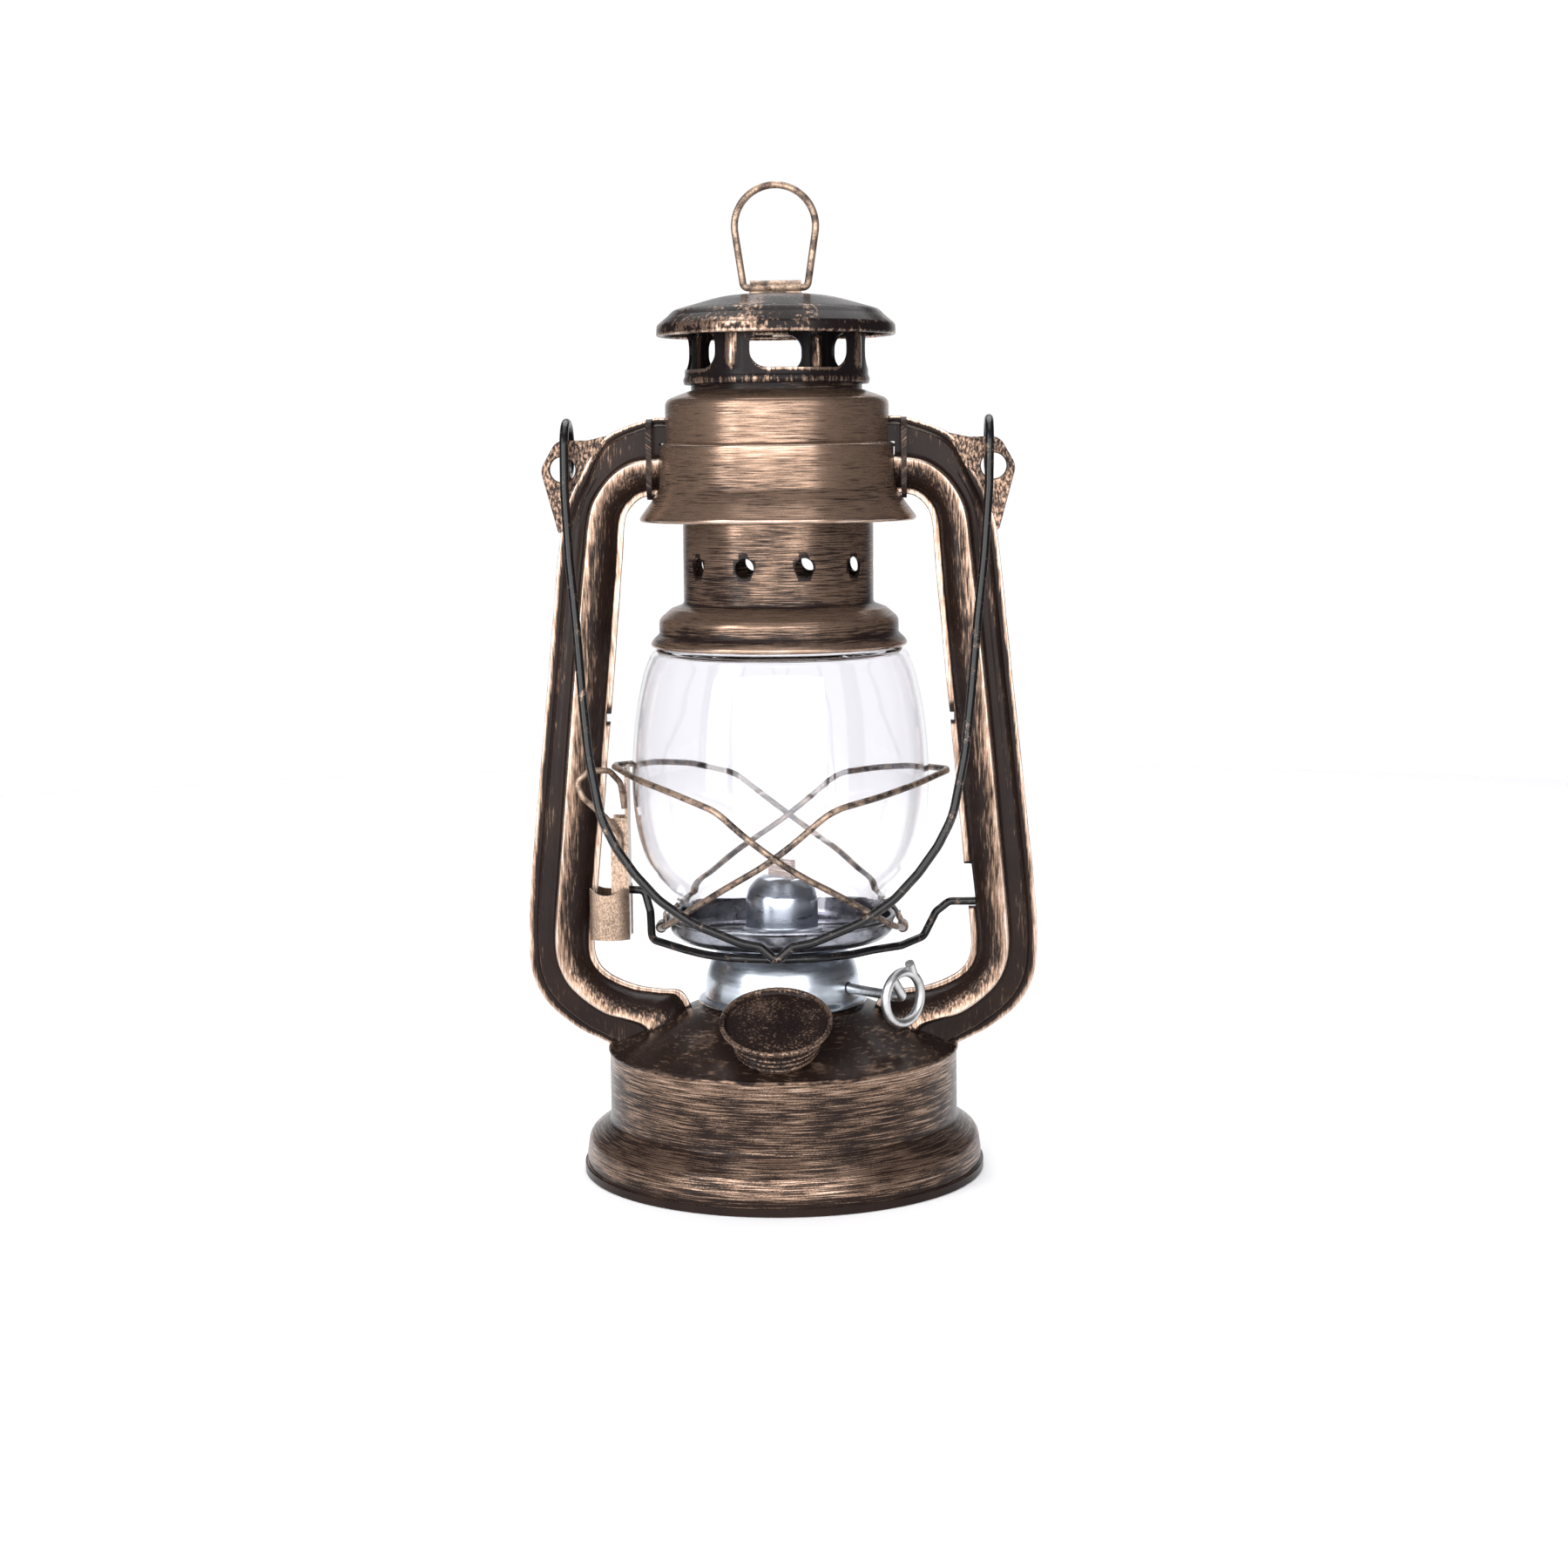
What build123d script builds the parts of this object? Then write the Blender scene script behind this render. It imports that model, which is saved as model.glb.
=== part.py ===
"""Tubular kerosene lantern: fuel tank, flat-wick burner, lifting glass globe, sliding chimney,
side tubes, hood and carrying bail.

Millimetres, +Z up, origin at the centre of the base where the lantern stands.
+X is the side with the wick knob, -Y is the front with the filler cap.
"""
from build123d import *
from math import atan2, cos, hypot, radians, sin, tan
import os

# ---------------------------------------------------------------- driving dimensions
SHEET = 0.8                      # pressed sheet thickness
GAP = 0.3                        # air gap between parts that move past each other
RUNNING = 0.06                   # radial clearance of a pin in its bearing

# fuel tank
FOOT_R = 60.5                    # over the rolled foot
TANK_R = 52.5                    # straight wall
SHOULDER_Z = 36.3
DOME_TOP_R = 25.2
DOME_TOP_Z = 49.9
DOME_HOLE_R = 20.0
SKIRT_Z = 32.0                   # lower edge of the tank top's skirt, inside the wall
HEM = 0.4                        # the tank top's seam stands this far out of the wall
SEAT = 0.02                      # solder gap under pieces that sit on the dome

# burner
COLLAR_R = 22.4
BURNER_R = 23.9
BURNER_TOP_Z = 68.3
BURNER_DOME_R = 12.1
BURNER_DOME_Z = 89.3
KNOB_ANGLE = -42.0               # direction of the knob shaft, from +X
KNOB_Z = 56.3
KNOB_REACH = 44.5                # from the middle of the shaft to the ring
SHAFT_R = 1.5
WICK_W = 10.0
WICK_T = 2.0
WICK_LOW_Z = 16.0
WICK_TOP_Z = 93.8
WHEEL_R = 3.9
SHAFT_OFFSET = WICK_T / 2 + WHEEL_R + 0.1

# filler
FILLER_REACH = 40.0              # axis meets the dome this far in front of the centre
FILLER_CAP_R = 16.3
FILLER_CAP_H = 11.8
NECK_R = 9.0
NECK_H = 6.5

# globe and its carriage
PLATE_R = 34.2
PLATE_Z = 70.2
GLOBE_Z = PLATE_Z + SHEET + 0.05
GLOBE_TOP_Z = 162.0
GLASS = 1.7
GUARD_R = 0.95                   # guard wire radius
GUARD_TOP_X = 49.7
GUARD_END_X = 36.4
GUARD_END_Z = 73.2
GUARD_LEFT_Z = 122.0
GUARD_RIGHT_Z = 120.4
GUARD_LEFT_R = 51.6              # the left loop crosses outside the right one
GUARD_RIGHT_R = 47.6
LIFT_WIRE_R = 1.2
LIFT_TRAVEL = 10.0
SLOT_Z = 80.6                    # the lift wire's end in the slot of the right tube
HANDLE_X = -46.2

# chimney
NECK_OUT_R = 28.2
HOLE_Z = 182.0
HOLE_R = 2.9
HOLE_COUNT = 10
FLUE_R = 25.2
CROWN_R = 27.3
CROWN_Z = 235.0
CROWN_TOP_Z = 252.6
WINDOW_Z = 244.9
WINDOW_H = 11.1
WINDOW_ANGLE = 65.0
FIRST_POST_ANGLE = -26.0         # first post, from the front
CAP_R = 35.2
CAP_TOP_Z = 261.0

# hood
HOOD_LOW_R = 35.1
HOOD_TOP_R = 33.0
HOOD_STEP_Z = 218.0
HOOD_TOP_Z = 233.2

# side tubes
FLANGE = 1.9                     # inner seam flange width
EAR_X = 63.8
EAR_Z = 210.6
EAR_HOLE_R = 4.2

# bail and ring
BAIL_WIRE_R = 1.3
BAIL_X = 62.4
BAIL_Z = 216.4
EYE_R = 8.0
BAIL_LEAN = 12.0
RING_WIRE_R = 1.05
RING_Z = 263.1

os.makedirs("parts", exist_ok=True)


# ---------------------------------------------------------------- helpers
def save(node, shape):
    """Write one node to its own STEP file."""
    export_step(shape, f"parts/{node}.step")


def turned(points):
    """Solid of revolution about Z from a closed outline of (radius, height) points."""
    outline = Polyline(*[(r, 0, z) for r, z in points], close=True)
    return revolve(make_face(outline), Axis.Z)


def offset_points(points, distance):
    """Mitred offset of an open run of 2D points, to the right of its direction."""
    moved = []
    for index, (a, b) in enumerate(points):
        turns = []
        if index > 0:
            turns.append((a - points[index - 1][0], b - points[index - 1][1]))
        if index < len(points) - 1:
            turns.append((points[index + 1][0] - a, points[index + 1][1] - b))
        normals = [(q / hypot(p, q), -p / hypot(p, q)) for p, q in turns]
        sum_a = sum(n[0] for n in normals)
        sum_b = sum(n[1] for n in normals)
        length = hypot(sum_a, sum_b)
        unit = (sum_a / length, sum_b / length)
        reach = distance / (unit[0] * normals[0][0] + unit[1] * normals[0][1])
        moved.append((a + unit[0] * reach, b + unit[1] * reach))
    return moved


def pressed(points, radii, thickness=SHEET):
    """Pressed sheet ring: the outer face runs through (radius, height) points from low to high.

    Corners are rounded with the given radii and the sheet lies inside the outer face.
    """
    inner = offset_points(points, -thickness)
    lines = [
        FilletPolyline(*[(r, 0, z) for r, z in points], radius=radii),
        FilletPolyline(*[(r, 0, z) for r, z in inner], radius=radii),
        Line((points[0][0], 0, points[0][1]), (inner[0][0], 0, inner[0][1])),
        Line((points[-1][0], 0, points[-1][1]), (inner[-1][0], 0, inner[-1][1])),
    ]
    return revolve(make_face(Curve() + lines), Axis.Z)


def wire(points, radii, wire_r, close=False):
    """Round wire bent along straight runs and tangent arcs."""
    path = Polyline(*points) if radii is None else FilletPolyline(*points, radius=radii, close=close)
    start = Plane(origin=path @ 0, z_dir=path % 0)
    return sweep(start * Circle(wire_r), path=path)


def bead(ring_r, z, bead_r):
    """Rolled edge: a torus about Z."""
    return Pos(0, 0, z) * Torus(ring_r, bead_r)


def mirror_x(shape):
    return mirror(shape, about=Plane.YZ)


def radial(angle, distance, z):
    """Point at an angle from +X and a distance from the Z axis."""
    return (distance * cos(radians(angle)), distance * sin(radians(angle)), z)


# ---------------------------------------------------------------- fuel tank
def tank_bottom():
    """Floor of the tank, hung from the rolled foot."""
    lip_in = FOOT_R - 3 * SHEET
    return turned([
        (0, 3.2), (lip_in - SHEET, 3.2), (lip_in, 0), (FOOT_R, 0), (FOOT_R, 2.3),
        (FOOT_R - SHEET, 2.3), (FOOT_R - SHEET, SHEET), (lip_in + SHEET, SHEET),
        (lip_in + SHEET / 2, 3.2 + SHEET), (0, 3.2 + SHEET),
    ])


def tank_wall():
    """Flared foot, cove and straight wall."""
    foot = FOOT_R - SHEET
    return pressed(
        [(foot, SHEET), (foot, 4.2), (58.7, 10.6), (TANK_R, 16.2), (TANK_R, SHOULDER_Z)],
        [5.0, 5.0, 3.2],
    )


DOME_SLOPE = (DOME_TOP_Z - SHOULDER_Z - 1.0) / (TANK_R - DOME_TOP_R)


def dome_z(radius):
    """Height of the outside of the tank dome."""
    return DOME_TOP_Z - (radius - DOME_TOP_R) * DOME_SLOPE


def tank_top():
    """Dome with its hem over the wall and a skirt inside it."""
    skirt = TANK_R - SHEET - 0.05
    hem = TANK_R + HEM
    under = SHEET * hypot(1, DOME_SLOPE)
    return turned([
        (skirt - SHEET, SKIRT_Z), (skirt, SKIRT_Z), (skirt, SHOULDER_Z + SEAT), (hem, SHOULDER_Z + SEAT),
        (hem, SHOULDER_Z + 0.7), (TANK_R, dome_z(TANK_R)), (DOME_TOP_R, DOME_TOP_Z),
        (DOME_HOLE_R, DOME_TOP_Z), (DOME_HOLE_R, DOME_TOP_Z - SHEET),
        (DOME_TOP_R, DOME_TOP_Z - under), (skirt - SHEET, dome_z(skirt - SHEET) - under),
    ])


def under_dome():
    """Everything below the outside of the tank dome, used to cut the tube ends to it."""
    return turned([
        (0, 0), (TANK_R + HEM, 0), (TANK_R + HEM, SHOULDER_Z + 0.7 + SEAT), (TANK_R, dome_z(TANK_R)),
        (DOME_TOP_R, DOME_TOP_Z), (0, DOME_TOP_Z),
    ])


FILLER_AXIS = (0, -sin(atan2(DOME_SLOPE, 1)), cos(atan2(DOME_SLOPE, 1)))
FILLER = Plane(
    origin=(0, -FILLER_REACH, dome_z(FILLER_REACH)), x_dir=(1, 0, 0), z_dir=FILLER_AXIS
)


def filler_neck():
    """Neck soldered on the dome, with a rolled mouth."""
    tube = turned([
        (NECK_R - SHEET, SEAT), (NECK_R + 1.2, SEAT), (NECK_R + 1.2, SHEET), (NECK_R, SHEET),
        (NECK_R, NECK_H), (NECK_R - SHEET, NECK_H),
    ])
    return FILLER * tube


def filler_hole():
    """Mouth through the dome under the neck."""
    return FILLER * Pos(0, 0, -3) * Cylinder(NECK_R - SHEET, 8)


def filler_cap():
    """Screw cap: dished top with a raised rim over a ribbed, tapering skirt."""
    skirt = NECK_R + 2.9
    bore = NECK_R + GAP
    top = FILLER_CAP_H
    body = turned([
        (bore, 1.6), (skirt, 1.6), (skirt + 0.6, 2.6), (skirt + 0.2, 3.4), (skirt + 1.0, 4.4),
        (skirt + 0.6, 5.2), (skirt + 1.6, 6.4), (skirt + 1.4, 7.2), (FILLER_CAP_R - 1.4, 9.6),
        (FILLER_CAP_R, top - 1.2), (FILLER_CAP_R, top - 0.4), (FILLER_CAP_R - 0.5, top),
        (FILLER_CAP_R - 1.5, top), (FILLER_CAP_R - 2.4, top - 1.5), (0, top - 1.5),
        (0, top - 3.1), (bore, top - 3.1),
    ])
    return FILLER * body


def filler_gasket():
    """Disc in the cap that seals the mouth of the neck."""
    base = NECK_H + 0.05
    return FILLER * Pos(0, 0, base + 1.0) * Cylinder(NECK_R, 2.0)


# ---------------------------------------------------------------- burner
SHAFT_DIR = (cos(radians(KNOB_ANGLE)), sin(radians(KNOB_ANGLE)), 0)
SHAFT_SIDE = (-SHAFT_DIR[1], SHAFT_DIR[0], 0)
SHAFT = Plane(
    origin=(SHAFT_SIDE[0] * SHAFT_OFFSET, SHAFT_SIDE[1] * SHAFT_OFFSET, KNOB_Z),
    x_dir=(0, 0, 1),
    z_dir=SHAFT_DIR,
)
WICK_TURN = Rot(0, 0, KNOB_ANGLE)


def shaft_rod(start, end, radius):
    """Cylinder along the knob shaft between two distances from its middle."""
    return SHAFT * Pos(0, 0, (start + end) / 2) * Cylinder(radius, end - start)


def burner_collar():
    """Threaded ring in the hole of the dome that the burner screws into."""
    throat = DOME_HOLE_R - 0.05
    low = DOME_TOP_Z - 4.4
    high = DOME_TOP_Z + 4
    return turned([
        (throat - SHEET, low), (throat, low), (throat, DOME_TOP_Z + SEAT),
        (COLLAR_R, DOME_TOP_Z + SEAT), (COLLAR_R, DOME_TOP_Z + SHEET), (DOME_HOLE_R, DOME_TOP_Z + SHEET),
        (DOME_HOLE_R, high), (throat - SHEET, high),
    ])


def burner_body():
    """Casing with a foot lip, a straight wall and a rounded shoulder."""
    foot_z = DOME_TOP_Z + SEAT
    case = pressed(
        [(DOME_TOP_R + 0.3, foot_z + SHEET + 0.2), (BURNER_R, foot_z + 1.8), (BURNER_R, 61.2),
         (18.4, BURNER_TOP_Z - 1.0), (15.5, BURNER_TOP_Z)],
        [0.6, 3.6, 1.5],
    )
    return case - shaft_rod(0, 60, SHAFT_R + RUNNING)


def draft_plate():
    """Perforated plate across the burner, round the wick tube."""
    low = 62.0
    plate_r = 20.0
    plate = turned([(0, low), (plate_r, low), (plate_r, low + 0.6), (0, low + 0.6)])
    plate -= WICK_TURN * Pos(0, 0, low) * Box(WICK_W + 1.9, WICK_T + 1.9, 4)
    for count, ring_r in ((12, 16.8), (10, 12.0)):
        for index in range(count):
            plate -= Rot(0, 0, 360 * index / count) * Pos(ring_r, 0, low) * Cylinder(1.4, 4)
    return plate


def wick_tube():
    """Flat tube open at both ends, with a window where the wheels press on the wick."""
    foot_z = 44.0
    top_z = 86.0
    height = top_z - foot_z
    outer = Box(WICK_W + 1.6, WICK_T + 1.6, height)
    inner = Box(WICK_W + 0.6, WICK_T + 0.6, height + 2)
    shell = Pos(0, 0, foot_z + height / 2) * (outer - inner)
    window = Pos(0, 2, KNOB_Z) * Box(WICK_W - 0.6, 3.4, 2 * WHEEL_R + 1.2)
    return WICK_TURN * (shell - window)


def burner_dome():
    """Flame dome over the wick tube: pressed cap on a creased skirt, with a flame slot."""
    crease_z = 76.8
    r = BURNER_DOME_R
    top = BURNER_DOME_Z
    shell = pressed(
        [(r + 1.9, BURNER_TOP_Z + 0.4), (r, BURNER_TOP_Z + 0.4 + SHEET), (r, crease_z - 0.5),
         (r - 0.6, crease_z), (r + 0.1, crease_z + 0.6), (r - 0.1, top - 6.0), (r - 4.6, top - 1.2), (0.2, top)],
        [0.5, 0.4, 0.3, 0.4, 4.4, 3.6],
    )
    return shell - WICK_TURN * Pos(0, 0, top) * Box(WICK_W + 3, 4.4, 8)


def wick():
    """Flat wick from the tank floor to just above the flame dome."""
    length = WICK_TOP_Z - WICK_LOW_Z
    return WICK_TURN * Pos(0, 0, WICK_LOW_Z + length / 2) * Box(WICK_W, WICK_T, length)


def wick_shaft():
    return shaft_rod(-WICK_W / 2 - 1, KNOB_REACH - 3.5, SHAFT_R)


def wick_wheels():
    """Two toothed wheels that feed the wick."""
    wheels = []
    for place in (-2.4, 2.4):
        wheel = Cylinder(WHEEL_R - 0.6, 1.4)
        for index in range(10):
            wheel += Rot(0, 0, 36 * index) * Pos(WHEEL_R - 0.7, 0, 0) * Box(1.4, 0.9, 1.4)
        wheel -= Cylinder(SHAFT_R + 0.01, 3)
        wheels.append(SHAFT * Pos(0, 0, place) * wheel)
    return Compound(wheels)


def wick_knob():
    """Wire ring square to the shaft, its free end standing off the ring."""
    ring_r = 7.6
    wire_r = 1.4
    ring = Torus(ring_r, wire_r)
    spoke = wire([(0, 0, -3.5), (0, 0, 0.2), (ring_r * 0.8, ring_r * 0.6, 0.2)], [2.0], wire_r)
    tail = wire([(ring_r * 0.8, -ring_r * 0.6, 0), (ring_r + 2.6, -ring_r * 0.2, 1.2)], None, wire_r)
    return SHAFT * Pos(0, 0, KNOB_REACH) * (ring + spoke + tail)


# ---------------------------------------------------------------- hood
def hood_body():
    """Lower band of the hood with its flared skirt and turned-in top edge."""
    band = pressed(
        [(40.4, 195.6), (37.6, 200.6), (HOOD_LOW_R, 204.6), (HOOD_LOW_R, HOOD_STEP_Z - SHEET),
         (HOOD_TOP_R + 0.35, HOOD_STEP_Z)],
        [4.0, 3.0, 0.9],
    )
    return band + bead(40.1, 195.8, 0.85)


def hood_top():
    """Upper band of the hood, its shoulder closing in on the flue."""
    return pressed(
        [(HOOD_TOP_R, HOOD_STEP_Z - 7), (HOOD_TOP_R, 230.6), (FLUE_R + 0.7, HOOD_TOP_Z)],
        [2.6],
    )


def hood_solid():
    """Everything inside the outer face of the hood, used to cut the tube ends to it."""
    return turned([
        (0, 195), (40.5, 195), (37.6, 200.6), (HOOD_LOW_R, 204.6), (HOOD_LOW_R, HOOD_STEP_Z + 0.05),
        (HOOD_TOP_R, HOOD_STEP_Z + 0.05), (HOOD_TOP_R, 235), (0, 235),
    ])


def tube_mouths():
    """Passages through the hood wall into the two side tubes."""
    mouth = extrude(Plane.YZ * RectangleRounded(8.0, 14.0, 3.0), 45, both=True)
    return Pos(0, 0, 212.5) * mouth


# ---------------------------------------------------------------- side tubes
# Each station: inner edge (x, z), outer edge (x, z), crest from the inner edge,
# outer flange width, crest height, outer panel height.
TUBE_STATIONS = [
    ((31.0, 203.0), (31.0, 225.2), 10.4, 1.2, 7.2, 4.4),
    ((37.5, 202.9), (37.5, 223.5), 10.3, 1.4, 7.2, 4.2),
    ((40.8, 201.8), (51.3, 219.9), 10.0, 1.8, 7.0, 3.8),
    ((43.9, 198.9), (58.6, 208.6), 9.7, 2.2, 7.0, 3.6),
    ((45.6, 194.6), (63.4, 197.6), 9.9, 2.2, 7.0, 3.6),
    ((46.5, 183.3), (65.6, 185.2), 10.4, 2.2, 7.0, 3.7),
    ((48.9, 156.5), (68.3, 158.4), 10.9, 2.2, 7.0, 3.8),
    ((51.4, 130.0), (71.1, 131.9), 11.0, 2.2, 7.0, 3.8),
    ((53.8, 103.5), (73.9, 105.5), 11.0, 2.3, 7.0, 3.8),
    ((56.0, 80.5), (76.2, 82.2), 10.9, 2.4, 7.0, 3.8),
    ((56.9, 68.0), (76.9, 67.4), 10.7, 2.4, 7.0, 3.8),
    ((55.6, 62.0), (75.3, 56.6), 10.3, 2.4, 7.1, 3.8),
    ((51.4, 58.0), (70.4, 48.6), 10.5, 2.4, 7.3, 3.9),
    ((44.0, 55.0), (62.1, 41.9), 11.6, 2.2, 7.8, 4.2),
    ((36.5, 53.9), (56.2, 38.8), 12.6, 2.0, 8.4, 4.6),
    ((30.6, 53.0), (50.4, 35.6), 13.6, 1.6, 9.2, 5.2),
    ((26.8, 46.5), (45.8, 30.6), 13.6, 1.4, 9.8, 6.0),
]


def tube_section(inner, outer, crest, flange_out, crest_h, panel_h):
    """Thin cross-section of one pressed tube half at a station, on the front of the seam plane."""
    width = hypot(outer[0] - inner[0], outer[1] - inner[1])
    ux = (outer[0] - inner[0]) / width
    uz = (outer[1] - inner[1]) / width
    t = SHEET
    root = width - flange_out

    def at(u, h):
        return (inner[0] + ux * u, -h, inner[1] + uz * u)

    rise = crest - FLANGE
    lift = crest_h - t
    lobe = [(FLANGE, t), (FLANGE + 0.16 * rise, t + 0.46 * lift), (FLANGE + 0.5 * rise, t + 0.86 * lift),
            (crest - 0.6, crest_h - 0.05)]
    lobe_in = [(crest - 0.9, lobe[3][1] - t), (lobe[2][0] + 0.35 * t, lobe[2][1] - 0.95 * t),
               (lobe[1][0] + 0.85 * t, lobe[1][1] - 0.55 * t), (FLANGE + t, 0)]
    lines = [
        Polyline(at(FLANGE + t, 0), at(0, 0), at(0, t), at(FLANGE, t)),
        Spline(*[at(*p) for p in lobe]),
        Polyline(
            at(*lobe[3]), at(crest + 0.5, crest_h - 0.8), at(crest + 1.1, panel_h + 0.5),
            at(crest + 1.9, panel_h), at(root - 1.2, panel_h - 0.5), at(root, t), at(width, t),
            at(width, 0), at(root - t, 0), at(root - 1.2 - 0.7 * t, panel_h - 0.5 - t),
            at(crest + 1.5, panel_h - t), at(crest + 0.1, panel_h), at(crest - 0.3, crest_h - 0.8 - t * 0.6),
            at(*lobe_in[0]),
        ),
        Spline(*[at(*p) for p in lobe_in]),
    ]
    return make_face(Curve() + lines)


def ear_plate():
    """Flat ear on the seam plane that carries the bail."""
    outline = FilletPolyline(
        (50.5, 0, 220.4), (56.4, 0, 218.9), (65.4, 0, 219.0), (70.2, 0, 210.6), (65.2, 0, 192.0),
        (61.6, 0, 193.0), (56.4, 0, 209.4), (50.5, 0, 218.4),
        radius=[1.0, 1.5, 4.2, 4.6, 0.6, 0.6, 0.6, 0.6], close=True,
    )
    plate = extrude(make_face(outline), SHEET, dir=(0, -1, 0))
    hole = Pos(EAR_X, 0, EAR_Z) * Rot(90, 0, 0) * Cylinder(EAR_HOLE_R, 6)
    return plate - hole


def tube_half(slotted):
    """Front half of the right tube, cut to the hood and to the tank dome."""
    sections = [tube_section(*station) for station in TUBE_STATIONS]
    half = loft(sections) + ear_plate()
    half -= hood_solid()
    half -= under_dome()
    half -= Pos(51.2, 0, 136.6) * Box(1.6, 4, 2.4)
    if slotted:
        low = SLOT_Z - LIFT_WIRE_R - GAP
        high = SLOT_Z + LIFT_TRAVEL + LIFT_WIRE_R + GAP
        half -= Pos(57, 0, (low + high) / 2) * Box(10, 2 * (LIFT_WIRE_R + GAP), high - low)
    return half


def tube_collar():
    """Band round the end of the right tube where it meets the hood."""
    x_mid = 37.4
    outer = RectangleRounded(17.6, 23.6, 4.2)
    inner = RectangleRounded(15.4, 22.2, 3.6)
    band = extrude(Plane.YZ * (outer - inner), 0.8, both=True)
    return Pos(x_mid, 0, 213.3) * band - hood_solid()


# ---------------------------------------------------------------- globe and its carriage
def globe():
    """Blown glass globe: swelling body on a straight foot, with a short neck."""
    body = [
        (28.6, GLOBE_Z + 3.0), (30.3, 79.4), (36.0, 86.8), (40.7, 94.1), (43.5, 105.2), (44.4, 118.9),
        (43.3, 136.0), (40.7, 149.4), (38.4, 155.6),
    ]
    neck = [(37.2, 157.1), (34.6, 157.6), (34.0, 158.6), (34.0, GLOBE_TOP_Z)]
    foot = [(28.6, GLOBE_Z)]
    profile = foot + body + neck
    inner = offset_points(profile, -GLASS)
    lines = [
        Line((foot[0][0], 0, foot[0][1]), (body[0][0], 0, body[0][1])),
        Spline(*[(r, 0, z) for r, z in body]),
        Polyline(*[(r, 0, z) for r, z in [body[-1]] + neck]),
        Line((profile[-1][0], 0, profile[-1][1]), (inner[-1][0], 0, inner[-1][1])),
        Polyline(*[(r, 0, z) for r, z in inner[-len(neck) - 1:]]),
        Spline(*[(r, 0, z) for r, z in inner[1:-len(neck)]]),
        Line((inner[1][0], 0, inner[1][1]), (inner[0][0], 0, inner[0][1])),
        Line((inner[0][0], 0, inner[0][1]), (foot[0][0], 0, foot[0][1])),
    ]
    return revolve(make_face(Curve() + lines), Axis.Z)


def globe_plate():
    """Perforated dish under the globe with a rolled rim."""
    dish = pressed(
        [(13.2, PLATE_Z), (30.8, PLATE_Z), (33.5, 72.4), (PLATE_R - 0.5, 76.4)], [2.0, 1.6]
    )
    dish += bead(PLATE_R - 0.8, 76.4, 0.8)
    for index in range(16):
        dish -= Rot(0, 0, 22.5 * index) * Pos(20.5, 0, PLATE_Z) * Cylinder(1.6, 4)
    return dish


def guard_wire(side, high_z, cross_r):
    """Closed loop round the globe: high at one side tube, low under the rim on the other side.

    side is -1 when the high end is on the left.
    """
    front = [
        (GUARD_TOP_X, 2.2, high_z), (40.6, 23.6, high_z - 1.4), (30.2, 37.2, high_z - 3.4),
        (16.6, 46.0, 114.2), (0.0, cross_r, 100.2), (-17.0, 40.6, 89.6), (-28.0, 28.0, 81.0),
        (-34.2, 14.0, 75.4), (-GUARD_END_X, 4.0, GUARD_END_Z),
    ]
    loop = [(side * x, -y, z) for x, y, z in front]
    loop += [(side * x, y, z) for x, y, z in reversed(front)]
    radii = [1.6, 24, 24, 14, 40, 40, 24, 14, 3.4]
    return wire(loop, radii + radii[::-1], GUARD_R, close=True)


def plate_tabs():
    """Two tabs that hook the guard loops to the rim of the plate."""
    tabs = []
    for side in (-1, 1):
        roll = Cylinder(GUARD_R + 0.75, 5) - Cylinder(GUARD_R + 0.05, 6)
        roll = Rot(90, 0, 0) * roll
        tail = Pos(-0.9, 0, 2.7) * Box(0.7, 5, 3.2)
        tabs.append(Pos(side * GUARD_END_X, 0, GUARD_END_Z) * (roll + Pos(-side * 0.9 + 0.9, 0, 0) * tail))
    return Compound(tabs)


def lift_wire():
    """Cross wire: right end in the tube slot, a half ring under the plate, left end in the handle."""
    ring_r = 31.5
    low = 68.7
    points = [(60.0, 0, SLOT_Z), (50.4, 0, SLOT_Z), (46.4, -1.0, 77.6), (42.6, -4.0, 70.6), (36.0, -9.0, low)]
    for angle in range(-30, -151, -20):
        points.append(radial(angle, ring_r / cos(radians(10)), low))
    points += [(-38.8, -7.4, 70.4), (-39.6, -2.0, 78.0), (-41.4, -0.6, 84.2), (HANDLE_X + 0.45, 0, 84.4)]
    radii = [3.0, 3.0, 3.0, 6.0] + [26.0] * 6 + [8.0, 3.6, 2.6, 2.0]
    return wire(points, radii, LIFT_WIRE_R)


def lift_handle():
    """Sheet channel with a spring saddle at its foot that slides along the left tube."""
    x = HANDLE_X
    web = Pos(x, 0, 96.2) * Box(SHEET, 9.6, 51.6)
    cheek = Pos(x - 2.4, -4.4, 90.2) * Box(4.8, SHEET, 33.0)
    channel = web + cheek + mirror(cheek, about=Plane.XZ)
    saddle_r = 8.0
    axis_x = x - 5.4
    shell = Cylinder(saddle_r, 15.6) - Cylinder(saddle_r - SHEET, 20)
    keep = Box(12.0, 40, 30)
    saddle = Pos(axis_x, 0, 77.8) * (shell & keep)
    dip = Pos(axis_x - 1.0, 0, 90.6) * Rot(90, 0, 0) * Cylinder(7.0, 30)
    channel += saddle - dip
    return channel


def finger_loop():
    """Wire loop beside the head of the handle, standing out past the tube."""
    points = [
        (HANDLE_X - 0.4, -5.75, 110.0), (-47.4, -7.0, 117.6), (-50.4, -10.4, 121.8), (-56.0, -12.6, 122.2),
        (-60.2, -12.6, 118.6), (-58.0, -12.6, 113.8), (-51.6, -9.4, 107.4), (-48.0, -5.75, 101.6),
        (-48.0, -5.75, 94.0),
    ]
    return wire(points, [4.0, 2.6, 2.4, 2.2, 2.4, 5.0, 3.0], 0.9)


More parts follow.
